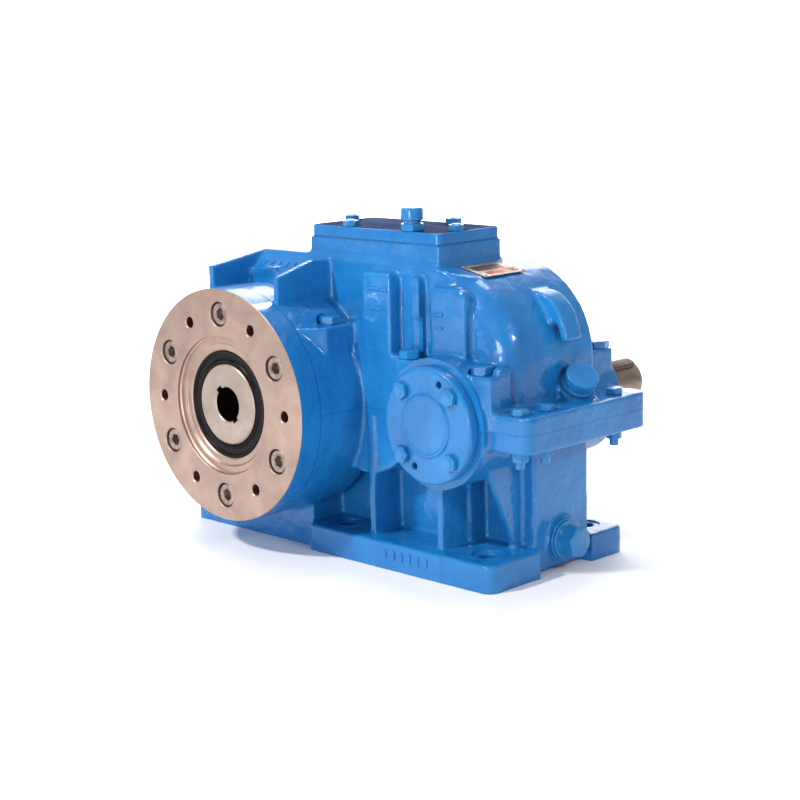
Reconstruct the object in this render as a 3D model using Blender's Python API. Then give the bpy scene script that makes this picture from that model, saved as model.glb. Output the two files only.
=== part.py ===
"""Two-stage parallel-shaft gearbox: flanged hollow output shaft, foot mounted, split housing.

Lengths are in millimetres until an object is made, which turns them into metres. The drawing
frame has its origin where the output axis meets the face of the output flange: X runs along the
row of shafts, Y along the shafts towards the input end, Z up. Every object is then shifted so
that the model's origin is the centre of its footprint, on the floor.
"""
import math

import bmesh
import bpy
from mathutils import Matrix, Vector

MM = 0.001
GAP = 0.3                       # left between two touching solids

# Shaft axes, all level with the split plane
SHAFT_HEIGHT = 195.5
OUTPUT_X = 0.0
INTERMEDIATE_X = 152.0
INPUT_X = 292.0

# Gears: module, teeth, face (start and end along Y)
SLOW_MODULE = 4.0
SLOW_PINION_TEETH = 17
SLOW_GEAR_TEETH = 59
SLOW_FACE = (170.0, 222.0)
FAST_MODULE = 4.0
FAST_PINION_TEETH = 18
FAST_GEAR_TEETH = 52
FAST_FACE = (232.0, 262.0)
BACKLASH = 0.5

# Housing
HOUSING_LEFT = -172.0
HOUSING_BACK = 283.0
WALL = 12.0
SPLIT_FLANGE = {"x": (-190.0, 429.0), "y": (95.0, 328.0), "z": (-24.0, 21.0)}
FOOT = {"x": (-174.0, 381.0), "y": (83.0, 342.0), "top": -161.0}
FOOT_HOLE_RADIUS = 11.0
REAR_BOSS_FACE = 344.0
BODY_FRONT = 126.0              # front wall of the upper half
CAVITY_FLOOR = -172.0
INSIDE_BACK = HOUSING_BACK - WALL

# Output flange and its screws
FLANGE_RADIUS = 150.0
FLANGE_THICKNESS = 33.0
FLANGE_HOLE_CIRCLE = 117.6
REGISTER_RADIUS = 90.0
REGISTER_DEPTH = 6.0
SEAL_RADIUS = 69.5
HUB_RADIUS = 52.2
HUB_FACE = 9.0
BORE_RADIUS = 22.2
SCREW_ANGLES = (90, 30, -30, -90, -150, 150)
TAPPED_ANGLES = (120, 60, 0, -60, -120, 180)

# Input shaft
INPUT_SHAFT_RADIUS = 27.5
INPUT_KEY_ANGLE = 62.0

# Input bearing cap
CAP_RADIUS = 71.5
CAP_FRONT = 71.0
CAP_BACK = 84.7
CAP_BOLT_CIRCLE = 55.6

# Inspection cover on top
COVER = {"x": (34.0, 261.0), "y": (131.0, 246.0)}
PAD_TOP = 207.0
GASKET_THICKNESS = 1.4
COVER_THICKNESS = 13.6
COVER_WINDOW = {"x": (66.0, 229.0), "y": (158.0, 219.0)}
COVER_BOLTS = ((98.0, 143.0), (249.0, 176.0), (190.0, 235.0), (46.0, 196.0))
BREATHER_PLACE = (205.0, 144.0)

# Bolts through the split plane: x, y and the height that the head sits on
BEARING_BOLTS = ((112.0, 88.0, 105.0), (235.0, 105.0, 72.0), (350.0, 108.0, 64.0))
SPLIT_BOLTS = ((404.0, 112.0), (408.0, 153.0), (408.0, 285.0))

# Plugs
DRAIN_PLACE = (374.0, 229.0, -158.0)
FILLER_PLACE = (389.0, 235.0, 33.0)
FILLER_DIRECTION = (0.6, -0.25, 0.76)

# Shoulder of the upper housing: an arc about this centre in the XZ plane
SHOULDER_CENTRE = (262.6, 64.0)
SHOULDER_RADIUS = 115.4
ROOF_LEFT = 186.0
ROOF_AT_PAD = 181.0
ROOF_SLOPE = -0.2217

HOOK_REACH = 22.0               # how far the lifting hook's back stands off the shoulder
HOOK_GAP = 9.0                  # room for a sling between the hook and the shoulder

CENTRE_X = (SPLIT_FLANGE["x"][0] + SPLIT_FLANGE["x"][1]) / 2
SHAFT_END = 462.0
CENTRE_Y = SHAFT_END / 2


# ---------------------------------------------------------------- helpers

def material(name, colour, roughness, metallic):
    """A plain Principled BSDF, made once for each name."""
    found = bpy.data.materials.get(name)
    if found:
        return found
    made = bpy.data.materials.new(name)
    made.use_nodes = True
    shader = made.node_tree.nodes["Principled BSDF"]
    shader.inputs["Base Color"].default_value = (*colour, 1.0)
    shader.inputs["Roughness"].default_value = roughness
    shader.inputs["Metallic"].default_value = metallic
    return made


def scratch(bm):
    """A working object in millimetres that holds the mesh built so far."""
    bmesh.ops.recalc_face_normals(bm, faces=bm.faces)
    mesh = bpy.data.meshes.new("scratch")
    bm.to_mesh(mesh)
    bm.free()
    made = bpy.data.objects.new("scratch", mesh)
    bpy.context.scene.collection.objects.link(made)
    return made


def combine(base, tools, operation):
    """Join, cut or trim the base with each tool in turn, then drop the tools."""
    for tool in tools:
        modifier = base.modifiers.new("combine", "BOOLEAN")
        modifier.operation = operation
        modifier.solver = "EXACT"
        modifier.object = tool
    bpy.context.view_layer.update()
    evaluated = base.evaluated_get(bpy.context.evaluated_depsgraph_get())
    result = bpy.data.meshes.new_from_object(evaluated)
    base.modifiers.clear()
    base.data = result
    weld(result)
    for tool in tools:
        bpy.data.objects.remove(tool)
    return base


def weld(mesh):
    """Merge the hair-thin edges that a cut through a corner leaves."""
    bm = bmesh.new()
    bm.from_mesh(mesh)
    bmesh.ops.remove_doubles(bm, verts=bm.verts, dist=0.003)
    bmesh.ops.dissolve_degenerate(bm, edges=bm.edges, dist=0.003)
    bm.to_mesh(mesh)
    bm.free()


def join(base, *tools):
    return combine(base, tools, "UNION")


def cut(base, *tools):
    return combine(base, tools, "DIFFERENCE")


def copy_of(thing):
    twin = bpy.data.objects.new("scratch", thing.data.copy())
    bpy.context.scene.collection.objects.link(twin)
    return twin


def finish(thing, name, look, origin=(0.0, 0.0, 0.0), parent=None, smooth_angle=35.0):
    """Name the object, set its origin, move it to the model's frame and give it its material."""
    mesh = thing.data
    mesh.name = name
    thing.name = name
    mesh.transform(Matrix.Translation(-Vector(origin)))
    mesh.transform(Matrix.Scale(MM, 4))
    mesh.materials.clear()
    mesh.materials.append(look)
    mesh.shade_smooth()
    mesh.set_sharp_from_angle(angle=math.radians(smooth_angle))
    if parent:
        thing.parent = parent
        thing.location = (Vector(origin) - Vector(parent["drawing_place"])) * MM
    else:
        thing.location = to_model(origin)
    return thing


def to_model(point):
    """A drawing point, in millimetres, as a place in the model, in metres."""
    return (Vector(point) + Vector((-CENTRE_X, -CENTRE_Y, SHAFT_HEIGHT))) * MM


def axis_empty(name, place):
    """An empty on a joint's axis, which carries the pieces that turn about it."""
    empty = bpy.data.objects.new(name, None)
    empty.location = to_model(place)
    empty["drawing_place"] = list(place)
    bpy.context.scene.collection.objects.link(empty)
    return empty


def box(x, y, z):
    """A block between two limits along each axis."""
    bm = bmesh.new()
    bmesh.ops.create_cube(bm, size=1.0)
    size = [high - low for low, high in (x, y, z)]
    middle = [(high + low) / 2 for low, high in (x, y, z)]
    bmesh.ops.scale(bm, vec=size, verts=bm.verts)
    bmesh.ops.translate(bm, vec=middle, verts=bm.verts)
    return scratch(bm)


def prism_mesh(points, low, high, axis):
    """An outline extruded along an axis; its points are in the two other axes, in X, Y, Z order."""
    bm = bmesh.new()
    place = {"x": lambda a, b: (low, a, b), "y": lambda a, b: (a, low, b), "z": lambda a, b: (a, b, low)}
    step = {"x": (high - low, 0, 0), "y": (0, high - low, 0), "z": (0, 0, high - low)}
    face = bm.faces.new([bm.verts.new(place[axis](a, b)) for a, b in points])
    grown = bmesh.ops.extrude_face_region(bm, geom=[face])
    moved = [item for item in grown["geom"] if isinstance(item, bmesh.types.BMVert)]
    bmesh.ops.translate(bm, vec=step[axis], verts=moved)
    return bm


def prism(points, low, high, axis):
    return scratch(prism_mesh(points, low, high, axis))


def arc(centre, radius, start, end, steps):
    """Points on an arc, with angles in degrees."""
    angles = [math.radians(start + (end - start) * i / steps) for i in range(steps + 1)]
    return [(centre[0] + radius * math.cos(a), centre[1] + radius * math.sin(a)) for a in angles]


def rounded_rectangle(x, y, radius, steps=4):
    corners = ((x[1] - radius, y[1] - radius, 0), (x[0] + radius, y[1] - radius, 90),
               (x[0] + radius, y[0] + radius, 180), (x[1] - radius, y[0] + radius, 270))
    points = []
    for centre_x, centre_y, start in corners:
        points += arc((centre_x, centre_y), radius, start, start + 90, steps)
    return points


def turned(profile, centre, direction=(0.0, 1.0, 0.0), segments=32, start=0.0):
    """A profile of (radius, height) pairs spun about an axis through the centre.

    It is a solid when both of its ends lie on the axis, and a ring when it is a closed loop.
    """
    bm = bmesh.new()
    verts = [bm.verts.new((radius, 0.0, height)) for radius, height in profile]
    pairs = list(zip(verts, verts[1:]))
    if profile[0][0] > 0.0:
        pairs.append((verts[-1], verts[0]))
    edges = [bm.edges.new(pair) for pair in pairs]
    bmesh.ops.spin(bm, geom=verts + edges, cent=(0, 0, 0), axis=(0, 0, 1), angle=math.tau,
                   steps=segments, use_merge=True)
    bmesh.ops.remove_doubles(bm, verts=bm.verts, dist=0.001)
    turn = Vector((0, 0, 1)).rotation_difference(Vector(direction).normalized()).to_matrix()
    turn = turn @ Matrix.Rotation(start, 3, "Z")
    bmesh.ops.rotate(bm, cent=(0, 0, 0), matrix=turn, verts=bm.verts)
    bmesh.ops.translate(bm, vec=centre, verts=bm.verts)
    return scratch(bm)


def cylinder(radius, low, high, centre, direction=(0.0, 1.0, 0.0), segments=32):
    return turned([(0, low), (radius, low), (radius, high), (0, high)], centre, direction, segments)


def hole(radius, low, high, centre, direction=(0.0, 1.0, 0.0), segments=8):
    """A cutter whose corners are turned away from those of the solid that it cuts."""
    return turned([(0, low), (radius, low), (radius, high), (0, high)], centre, direction, segments, 0.21)


def ring(inner, outer, low, high, centre, segments=32):
    return turned([(inner, low), (outer, low), (outer, high), (inner, high)], centre, segments=segments)


def hexagon(across_flats, low, high, centre, direction=(0.0, 1.0, 0.0)):
    return cylinder(across_flats / math.sqrt(3), low, high, centre, direction, segments=6)


def polar(radius, angle, x=0.0):
    """A point on a circle about a shaft axis, seen from the front."""
    return x + radius * math.cos(math.radians(angle)), radius * math.sin(math.radians(angle))


def hex_bolt(across_flats, head, radius, length, centre, direction):
    """A hex bolt whose head sits on the centre, with its shank running backwards."""
    bolt = hexagon(across_flats, 0.0, head, centre, direction)
    return join(bolt, cylinder(radius, -length, head / 2, centre, direction, segments=8))


# ---------------------------------------------------------------- looks

def blue_paint():
    return material("blue_paint", (0.05, 0.22, 0.55), 0.35, 0.0)


def dark_paint():
    return material("oily_cover_paint", (0.03, 0.13, 0.36), 0.25, 0.0)


def bare_steel():
    return material("machined_steel", (0.62, 0.56, 0.52), 0.35, 1.0)


def ground_steel():
    return material("ground_steel", (0.68, 0.68, 0.68), 0.2, 1.0)


def dark_steel():
    return material("screw_steel", (0.35, 0.31, 0.28), 0.4, 1.0)


def gear_steel():
    return material("gear_steel", (0.48, 0.47, 0.46), 0.35, 1.0)


def black_rubber():
    return material("seal_rubber", (0.015, 0.015, 0.017), 0.5, 0.0)


def gasket_paper():
    return material("gasket_paper", (0.12, 0.15, 0.18), 0.9, 0.0)


def plate_metal():
    return material("nameplate_metal", (0.7, 0.68, 0.62), 0.3, 1.0)


# ---------------------------------------------------------------- housing

def shoulder_profile():
    """The upper housing seen from the front: barrel end, flat roof, sloping roof, round shoulder."""
    left_arc = arc((OUTPUT_X, 0.0), -HOUSING_LEFT, 180, 118, 6)
    roof_left = (left_arc[-1][0] + 22.0, ROOF_LEFT)
    shoulder = arc(SHOULDER_CENTRE, SHOULDER_RADIUS, 68.4, 0, 7)
    right = SHOULDER_CENTRE[0] + SHOULDER_RADIUS
    return left_arc + [roof_left, (COVER["x"][0], ROOF_LEFT), (COVER["x"][1], ROOF_AT_PAD)] \
        + shoulder + [(right, 0.0)]


def upper_body():
    """The main upper shell, with a wide round on the front edge of its shoulder."""
    bm = prism_mesh(shoulder_profile(), BODY_FRONT, HOUSING_BACK, "y")
    bmesh.ops.recalc_face_normals(bm, faces=bm.faces)
    start_x = SHOULDER_CENTRE[0] + SHOULDER_RADIUS * math.cos(math.radians(66.0))
    front_round = []
    for edge in bm.edges:
        on_front = all(abs(vert.co.y - BODY_FRONT) < 0.01 for vert in edge.verts)
        on_shoulder = all(vert.co.x > start_x - 6.0 for vert in edge.verts)
        if on_front and on_shoulder and max(vert.co.z for vert in edge.verts) > 1.0:
            front_round.append(edge)
    bmesh.ops.bevel(bm, geom=front_round, offset=34.0, offset_type="OFFSET", segments=4, profile=0.5,
                    affect="EDGES", clamp_overlap=False)
    return scratch(bm)


def foot():
    x, y = FOOT["x"], FOOT["y"]
    corner = 14.0
    outline = [(x[0], 97.0), (60.0, 97.0), (60.0, y[0] + corner)]
    outline += arc((60.0 + corner, y[0] + corner), corner, 180, 270, 3)[1:]
    outline += arc((x[1] - corner, y[0] + corner), corner, 270, 360, 4)
    outline += [(x[1], 176.0), (370.0, 176.0), (370.0, 275.0), (x[1], 275.0)]
    outline += arc((x[1] - corner, y[1] - corner), corner, 0, 90, 4)
    outline += [(x[0], y[1])]
    return prism(outline, -SHAFT_HEIGHT, FOOT["top"], "z")


def lifting_hook():
    """A curved lug on the shoulder, open below its tip for a sling."""
    outer = []
    inner = []
    steps = 8
    for i in range(steps + 1):
        share = i / steps
        angle = math.radians(52.0 - 39.0 * share)
        rise = HOOK_REACH * math.sin(min(share / 0.6, 1.0) * math.pi / 2)
        outer.append((SHOULDER_RADIUS - 3.0 + rise, angle))
        inner.append((SHOULDER_RADIUS - 8.0 if share < 0.7 else SHOULDER_RADIUS + HOOK_GAP, angle))
    points = [(SHOULDER_CENTRE[0] + r * math.cos(a), SHOULDER_CENTRE[1] + r * math.sin(a))
              for r, a in outer + inner[::-1]]
    return prism(points, 212.0, 242.0, "y")


def housing_outside():
    """Both halves of the casting as one solid, before it is hollowed and split."""
    flange = prism(rounded_rectangle(SPLIT_FLANGE["x"], SPLIT_FLANGE["y"], 16.0), *SPLIT_FLANGE["z"], "z")
    flange = cut(flange, box((60.0, 213.0), (80.0, 106.0), (-40.0, 40.0)))
    left_roof = arc((OUTPUT_X, 0.0), 168.0, 180, 90, 8) + [(0.0, 0.0)]
    additions = [
        foot(),
        upper_body(),
        box((HOUSING_LEFT, 290.0), (150.0, HOUSING_BACK), (-165.0, 5.0)),
        box((280.0, 369.0), (178.0, HOUSING_BACK - 0.5), (-166.0, 4.0)),
        box((HOUSING_LEFT + 0.5, 60.0), (97.5, 160.0), (-190.0, -30.0)),
        cylinder(FLANGE_RADIUS, FLANGE_THICKNESS + GAP, 132.0, (OUTPUT_X, 0, 0), segments=40),
        cut(cylinder(84.0, 106.0, 156.0, (INTERMEDIATE_X, 0, 0), segments=32),
            box((60.0, 250.0), (100.0, 160.0), (76.0, 100.0))),
        cylinder(80.0, 85.0, 186.0, (INPUT_X, 0, 0), segments=32),
        box((136.0, 377.0), (108.0, 130.0), (-3.0, 72.0)),
        box((303.0, 377.5), (92.0, 129.0), (-4.0, 64.0)),
        box((219.0, 251.0), (91.0, 129.5), (-2.0, 72.0)),
        prism([(62.0, 34.0), (108.0, 34.0), (134.0, 62.0), (134.0, 131.0), (62.0, 131.0)], -68.0, 105.0, "z"),
        prism(left_roof, 98.0, 133.0, "y"),
        prism([(98.5, 20.0), (98.5, 158.0), (130.0, ROOF_LEFT), (134.0, ROOF_LEFT), (134.0, 20.0)],
              -54.0, 70.0, "x"),
        prism([(36.0, 110.0), (36.0, 172.0), (131.0, 186.5), (131.5, 110.0)], -58.0, -49.0, "x"),
        prism([(36.0, 100.0), (36.0, 166.0), (96.0, 182.0), (131.0, 178.5), (131.0, 100.0)], 67.0, 75.0, "x"),
        box(COVER["x"], COVER["y"], (150.0, PAD_TOP)),
        prism(rounded_rectangle((152.0, 199.0), (70.0, 171.0), 8.0, 2), 107.0, 128.0, "y"),
        prism(rounded_rectangle((228.0, 242.0), (66.0, 170.0), 4.0, 1), 115.0, 128.5, "y"),
        prism(rounded_rectangle((260.0, 318.0), (60.0, 160.0), 12.0, 3), 114.0, 128.0, "y"),
        lifting_hook(),
        cylinder(24.0, -34.0, 4.0, FILLER_PLACE, FILLER_DIRECTION, segments=20),
        cylinder(29.0, -8.0, 0.0, DRAIN_PLACE, (1, 0, 0), segments=24),
        cylinder(88.0, 280.0, REAR_BOSS_FACE, (OUTPUT_X, 0, 0), segments=24),
        cylinder(64.0, 280.5, REAR_BOSS_FACE, (INTERMEDIATE_X, 0, 0), segments=24),
        cylinder(77.0, 280.2, REAR_BOSS_FACE, (INPUT_X, 0, 0), segments=24),
        box((224.0, 361.0), (270.0, REAR_BOSS_FACE - 1.0), (-6.0, 66.0)),
    ]
    for x in (165.0, 281.0):
        additions.append(box((x - 5.0, x + 5.0), (104.0, 182.0), (-163.0, -10.0)))
    slant = [(100.0, -10.0), (180.0, -10.0), (180.0, -164.0), (168.0, -164.0)]
    additions.append(prism(slant, 340.0, 350.0, "x"))
    return join(flange, *additions)


def upper_hollows():
    """The upper half's gear space, its window and the filler hole."""
    roof = prism([(-158.0, -20.0)] + arc((OUTPUT_X, 0.0), 158.0, 180, 112, 5)[1:]
                 + [(34.0, 172.0), (250.0, 168.0)]
                 + arc(SHOULDER_CENTRE, SHOULDER_RADIUS - WALL - 2.0, 62, 0, 6) + [(364.0, -20.0)],
                 164.0, INSIDE_BACK, "y")
    return [
        roof,
        box(COVER_WINDOW["x"], COVER_WINDOW["y"], (160.0, PAD_TOP + 5.0)),
        turned([(0, -70.0), (13.3, -70.0), (13.3, 4.0), (26.0, 4.0), (26.0, 50.0), (0, 50.0)],
               FILLER_PLACE, FILLER_DIRECTION, segments=16, start=0.1),
    ]


def lower_hollows():
    """The lower half's gear space, its drain hole, foot holes and the relief under the foot."""
    foot_holes = [(340.0, 124.0), (100.0, 124.0), (340.0, 312.0), (100.0, 312.0), (-140.0, 312.0)]
    cutters = [
        box((HOUSING_LEFT + WALL, 278.0), (164.0, INSIDE_BACK), (CAVITY_FLOOR, 20.0)),
        box((270.0, 357.0), (191.0, INSIDE_BACK - 0.1), (CAVITY_FLOOR + 2.0, 21.0)),
        hole(13.7, -30.0, 5.0, DRAIN_PLACE, (1, 0, 0), 12),
        box((-200.0, 400.0), (175.0, 275.0), (-SHAFT_HEIGHT - 5.0, -SHAFT_HEIGHT + 5.5)),
    ]
    for x, y in foot_holes:
        cutters.append(hole(FOOT_HOLE_RADIUS, -40.0, 40.0, (x, y, -180.0), (0, 0, 1), 12))
    return cutters


def bearing_seats():
    """Bores through both halves, from the bearing bosses to the gear space."""
    return [
        cylinder(86.0, 30.0, 167.0, (OUTPUT_X, 0, 0), segments=32),
        cylinder(76.2, 268.0, 350.0, (OUTPUT_X, 0, 0), segments=24),
        cylinder(45.9, 124.0, 167.5, (INTERMEDIATE_X, 0, 0), segments=24),
        cylinder(45.9, 268.5, 350.5, (INTERMEDIATE_X, 0, 0), segments=24),
        cylinder(47.9, 80.0, 193.0, (INPUT_X, 0, 0), segments=24),
        cylinder(52.9, 268.2, 350.2, (INPUT_X, 0, 0), segments=24),
    ]


def bolt_holes():
    """Holes in the housing for the screws and bolts that are modelled."""
    holes = []
    for angle in SCREW_ANGLES:
        x, z = polar(FLANGE_HOLE_CIRCLE, angle)
        holes.append(hole(10.7, 30.0, 64.0, (x, 0, z)))
    for angle in (45, 135, 225, 315):
        x, z = polar(CAP_BOLT_CIRCLE, angle, INPUT_X)
        holes.append(hole(6.6, 80.0, 112.0, (x, 0, z)))
    for x, y in COVER_BOLTS:
        holes.append(hole(6.7, -18.0, 6.0, (x, y, PAD_TOP), (0, 0, 1)))
    for x, y, seat in BEARING_BOLTS:
        spot_face = [(0, -30.0 - seat), (8.8, -30.0 - seat), (8.8, 0.0), (16.0, 0.0), (16.0, 30.0), (0, 30.0)]
        holes.append(turned(spot_face, (x, y, seat), (0, 0, 1), segments=12, start=0.1))
    for x, y in SPLIT_BOLTS:
        holes.append(hole(6.8, -35.0, 30.0, (x, y, 0.0), (0, 0, 1)))
    return holes


def housing():
    """The casting, split into its lower and upper halves and hollowed."""
    casting = housing_outside()
    above = box((-400.0, 700.0), (-200.0, 700.0), (-GAP / 2, 500.0))
    below = box((-400.0, 700.0), (-200.0, 700.0), (-500.0, GAP / 2))
    lower = cut(copy_of(casting), above, *lower_hollows(), *bearing_seats(), *bolt_holes())
    upper = cut(casting, below, *upper_hollows(), *bearing_seats(), *bolt_holes())
    finish(lower, "lower_housing", blue_paint())
    finish(upper, "upper_housing", blue_paint())


# ---------------------------------------------------------------- covers, seals and plugs

def inspection_cover():
    cover_x = (COVER["x"][0] + 1.0, COVER["x"][1] - 1.0)
    cover_y = (COVER["y"][0] + 1.0, COVER["y"][1] - 1.0)
    gasket_top = PAD_TOP + GAP + GASKET_THICKNESS
    gasket = prism(rounded_rectangle(cover_x, cover_y, 6.0, 3), PAD_TOP + GAP, gasket_top, "z")
    cover = prism(rounded_rectangle(cover_x, cover_y, 6.0, 3), gasket_top + GAP,
                  gasket_top + GAP + COVER_THICKNESS, "z")
    window = box(COVER_WINDOW["x"], COVER_WINDOW["y"], (PAD_TOP - 5.0, gasket_top + 5.0))
    spots = [hole(6.8, -20.0, 30.0, (x, y, PAD_TOP), (0, 0, 1)) for x, y in COVER_BOLTS]
    gasket = cut(gasket, window, *[copy_of(spot) for spot in spots])
    breather_hole = hole(10.4, 4.0, 30.0, (*BREATHER_PLACE, PAD_TOP), (0, 0, 1), 12)
    finish(gasket, "inspection_gasket", gasket_paper())
    finish(cut(cover, breather_hole, *spots), "inspection_cover", dark_paint())


def cover_top():
    return PAD_TOP + 2 * GAP + GASKET_THICKNESS + COVER_THICKNESS


def breather():
    """Vent plug on the cover: threaded end, hex base and a round cap."""
    place = (*BREATHER_PLACE, cover_top() + GAP)
    body = turned([(0, -9.0), (9.5, -9.0), (9.5, 0.5), (10.5, 0.5), (10.5, 13.0), (14.0, 13.0),
                   (14.0, 26.0), (9.0, 31.0), (0, 31.0)], place, (0, 0, 1), segments=20)
    finish(join(body, hexagon(27.0, 0.0, 9.0, place, (0, 0, 1))), "breather", blue_paint(), place)


def filler_plug():
    profile = [(0, -16.0), (12.5, -16.0), (12.5, 4.5), (19.0, 4.5), (19.0, 11.0), (21.0, 12.5), (21.0, 24.0),
               (19.0, 26.0), (0, 26.0)]
    plug = turned(profile, FILLER_PLACE, FILLER_DIRECTION, segments=24)
    finish(plug, "filler_plug", blue_paint(), FILLER_PLACE)


def drain_plug():
    x, y, z = DRAIN_PLACE
    washer = turned([(14.0, GAP), (27.0, GAP), (27.0, 2.8), (14.0, 2.8)], DRAIN_PLACE, (1, 0, 0), segments=24)
    body = turned([(0, -18.0), (13.0, -18.0), (13.0, 3.1), (25.0, 3.1), (25.0, 7.0), (19.0, 7.0),
                   (19.0, 10.0), (0, 10.0)], DRAIN_PLACE, (1, 0, 0), segments=24)
    finish(washer, "drain_plug_washer", blue_paint(), (x, y, z))
    finish(join(body, hexagon(36.0, 6.0, 26.0, DRAIN_PLACE, (1, 0, 0))), "drain_plug", blue_paint(), (x, y, z))


def nameplate():
    """Blank rating plate lying on the sloping roof."""
    angle = math.atan(ROOF_SLOPE)
    middle = Vector((291.0, 196.0, ROOF_AT_PAD + ROOF_SLOPE * (291.0 - COVER["x"][1])))
    plate = prism(rounded_rectangle((-21.0, 21.0), (-37.0, 37.0), 2.0, 2), 1.0, 2.0, "z")
    plate.data.transform(Matrix.Translation(middle) @ Matrix.Rotation(-angle, 4, "Y"))
    finish(plate, "nameplate", plate_metal())


def output_flange():
    profile = [(REGISTER_RADIUS, 0), (FLANGE_RADIUS - 1.0, 0), (FLANGE_RADIUS, 1.0),
               (FLANGE_RADIUS, FLANGE_THICKNESS), (SEAL_RADIUS + 0.5, FLANGE_THICKNESS),
               (SEAL_RADIUS + 0.5, 9.0), (78.0, 9.0), (78.0, REGISTER_DEPTH), (REGISTER_RADIUS, REGISTER_DEPTH)]
    flange = turned(profile, (OUTPUT_X, 0, 0), segments=48)
    holes = []
    for angle in SCREW_ANGLES:
        x, z = polar(FLANGE_HOLE_CIRCLE, angle)
        counterbore = [(0, -5.0), (16.6, -5.0), (16.6, 21.5), (10.9, 21.5), (10.9, 40.0), (0, 40.0)]
        holes.append(turned(counterbore, (x, 0, z), segments=12, start=0.1))
    for angle in TAPPED_ANGLES:
        x, z = polar(FLANGE_HOLE_CIRCLE, angle)
        holes.append(hole(7.0, -5.0, 28.0, (x, 0, z)))
    finish(cut(flange, *holes), "output_flange", bare_steel())


def flange_screws():
    """Socket-head cap screws that hold the output flange."""
    for number, angle in enumerate(SCREW_ANGLES, start=1):
        x, z = polar(FLANGE_HOLE_CIRCLE, angle)
        screw = turned([(0, 60.0), (9.7, 60.0), (9.7, 21.2), (15.0, 21.2), (15.0, 2.0), (0, 2.0)],
                       (x, 0, z), segments=12)
        socket = hexagon(17.0, -5.0, 12.0, (x, 0, z))
        finish(cut(screw, socket), f"flange_screw_{number}", dark_steel(), (x, 0, z))


def output_seal():
    """Shaft seal between the flange and the hollow shaft."""
    profile = [(53.0, 12.0), (57.0, 10.5), (SEAL_RADIUS, 10.5), (SEAL_RADIUS, 24.0), (60.0, 24.0), (53.0, 18.0)]
    finish(turned(profile, (OUTPUT_X, 0, 0), segments=40), "output_seal", black_rubber())


def input_bearing_cap():
    """Blind cap over the closed end of the input shaft, with its four bolts."""
    profile = [(0, 89.0), (40.0, 89.0), (40.0, 91.0), (47.0, 91.0), (47.0, CAP_BACK), (CAP_RADIUS, CAP_BACK),
               (CAP_RADIUS, CAP_FRONT + 1.5), (CAP_RADIUS - 1.5, CAP_FRONT), (38.0, CAP_FRONT),
               (36.0, CAP_FRONT - 3.0), (0, CAP_FRONT - 3.0)]
    cap = turned(profile, (INPUT_X, 0, 0), segments=32)
    holes = []
    for number, angle in enumerate((45, 135, 225, 315), start=1):
        x, z = polar(CAP_BOLT_CIRCLE, angle, INPUT_X)
        holes.append(hole(6.8, 60.0, 95.0, (x, 0, z)))
        bolt = hex_bolt(19.0, 7.5, 6.0, 36.0, (x, CAP_FRONT - GAP, z), (0, -1, 0))
        finish(bolt, f"cap_bolt_{number}", blue_paint(), (x, CAP_FRONT, z))
    for angle in (68, 248):
        x, z = polar(CAP_BOLT_CIRCLE + 0.5, angle, INPUT_X)
        holes.append(hole(4.2, 60.0, 82.0, (x, 0, z)))
    finish(cut(cap, *holes), "input_bearing_cap", blue_paint())


def rear_covers():
    """Round covers on the back: open for the hollow shaft, blind, and open for the input shaft."""
    face = REAR_BOSS_FACE + GAP
    output = ring(46.0, 84.0, face, face + 12.0, (OUTPUT_X, 0, 0), segments=24)
    finish(output, "output_rear_cover", blue_paint())
    blind = turned([(0, face - 6.0), (45.0, face - 6.0), (45.0, face), (60.0, face), (60.0, face + 10.0),
                    (58.0, face + 12.0), (0, face + 12.0)], (INTERMEDIATE_X, 0, 0), segments=24)
    finish(blind, "intermediate_rear_cover", blue_paint())
    sealed = [(38.5, face - 7.0), (52.0, face - 7.0), (52.0, face), (CAP_RADIUS, face), (CAP_RADIUS, face + 12.0),
              (44.0, face + 12.0), (44.0, face + 15.0), (38.5, face + 15.0)]
    finish(turned(sealed, (INPUT_X, 0, 0), segments=24), "input_rear_cover", blue_paint())
    seal = ring(INPUT_SHAFT_RADIUS + 0.7, 38.0, face + 2.0, face + 13.0, (INPUT_X, 0, 0), segments=24)
    finish(seal, "input_seal", black_rubber())


def top_bolts():
    """Cover bolts, tall bearing bolts and the split-flange bolts with their nuts."""
    for number, (x, y) in enumerate(COVER_BOLTS, start=1):
        seat = cover_top() + GAP
        bolt = hex_bolt(18.0, 8.0, 6.0, 28.0, (x, y, seat), (0, 0, 1))
        finish(bolt, f"cover_bolt_{number}", blue_paint(), (x, y, seat))
    for number, (x, y, seat) in enumerate(BEARING_BOLTS, start=1):
        bolt = hex_bolt(24.0, 10.0, 8.0, seat + 26.0, (x, y, seat + GAP), (0, 0, 1))
        finish(bolt, f"bearing_bolt_{number}", blue_paint(), (x, y, seat))
    flange_bottom, flange_top = SPLIT_FLANGE["z"]
    for number, (x, y) in enumerate(SPLIT_BOLTS, start=1):
        bolt = hex_bolt(19.0, 8.0, 6.0, 66.0, (x, y, flange_top + GAP), (0, 0, 1))
        finish(bolt, f"split_bolt_{number}", blue_paint(), (x, y, flange_top))
        nut = hexagon(19.0, -11.0, 0.0, (x, y, flange_bottom - GAP), (0, 0, 1))
        nut = cut(nut, hole(6.8, -20.0, 5.0, (x, y, flange_bottom), (0, 0, 1)))
        finish(nut, f"split_nut_{number}", blue_paint(), (x, y, flange_bottom))


# ---------------------------------------------------------------- gears and shafts

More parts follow.
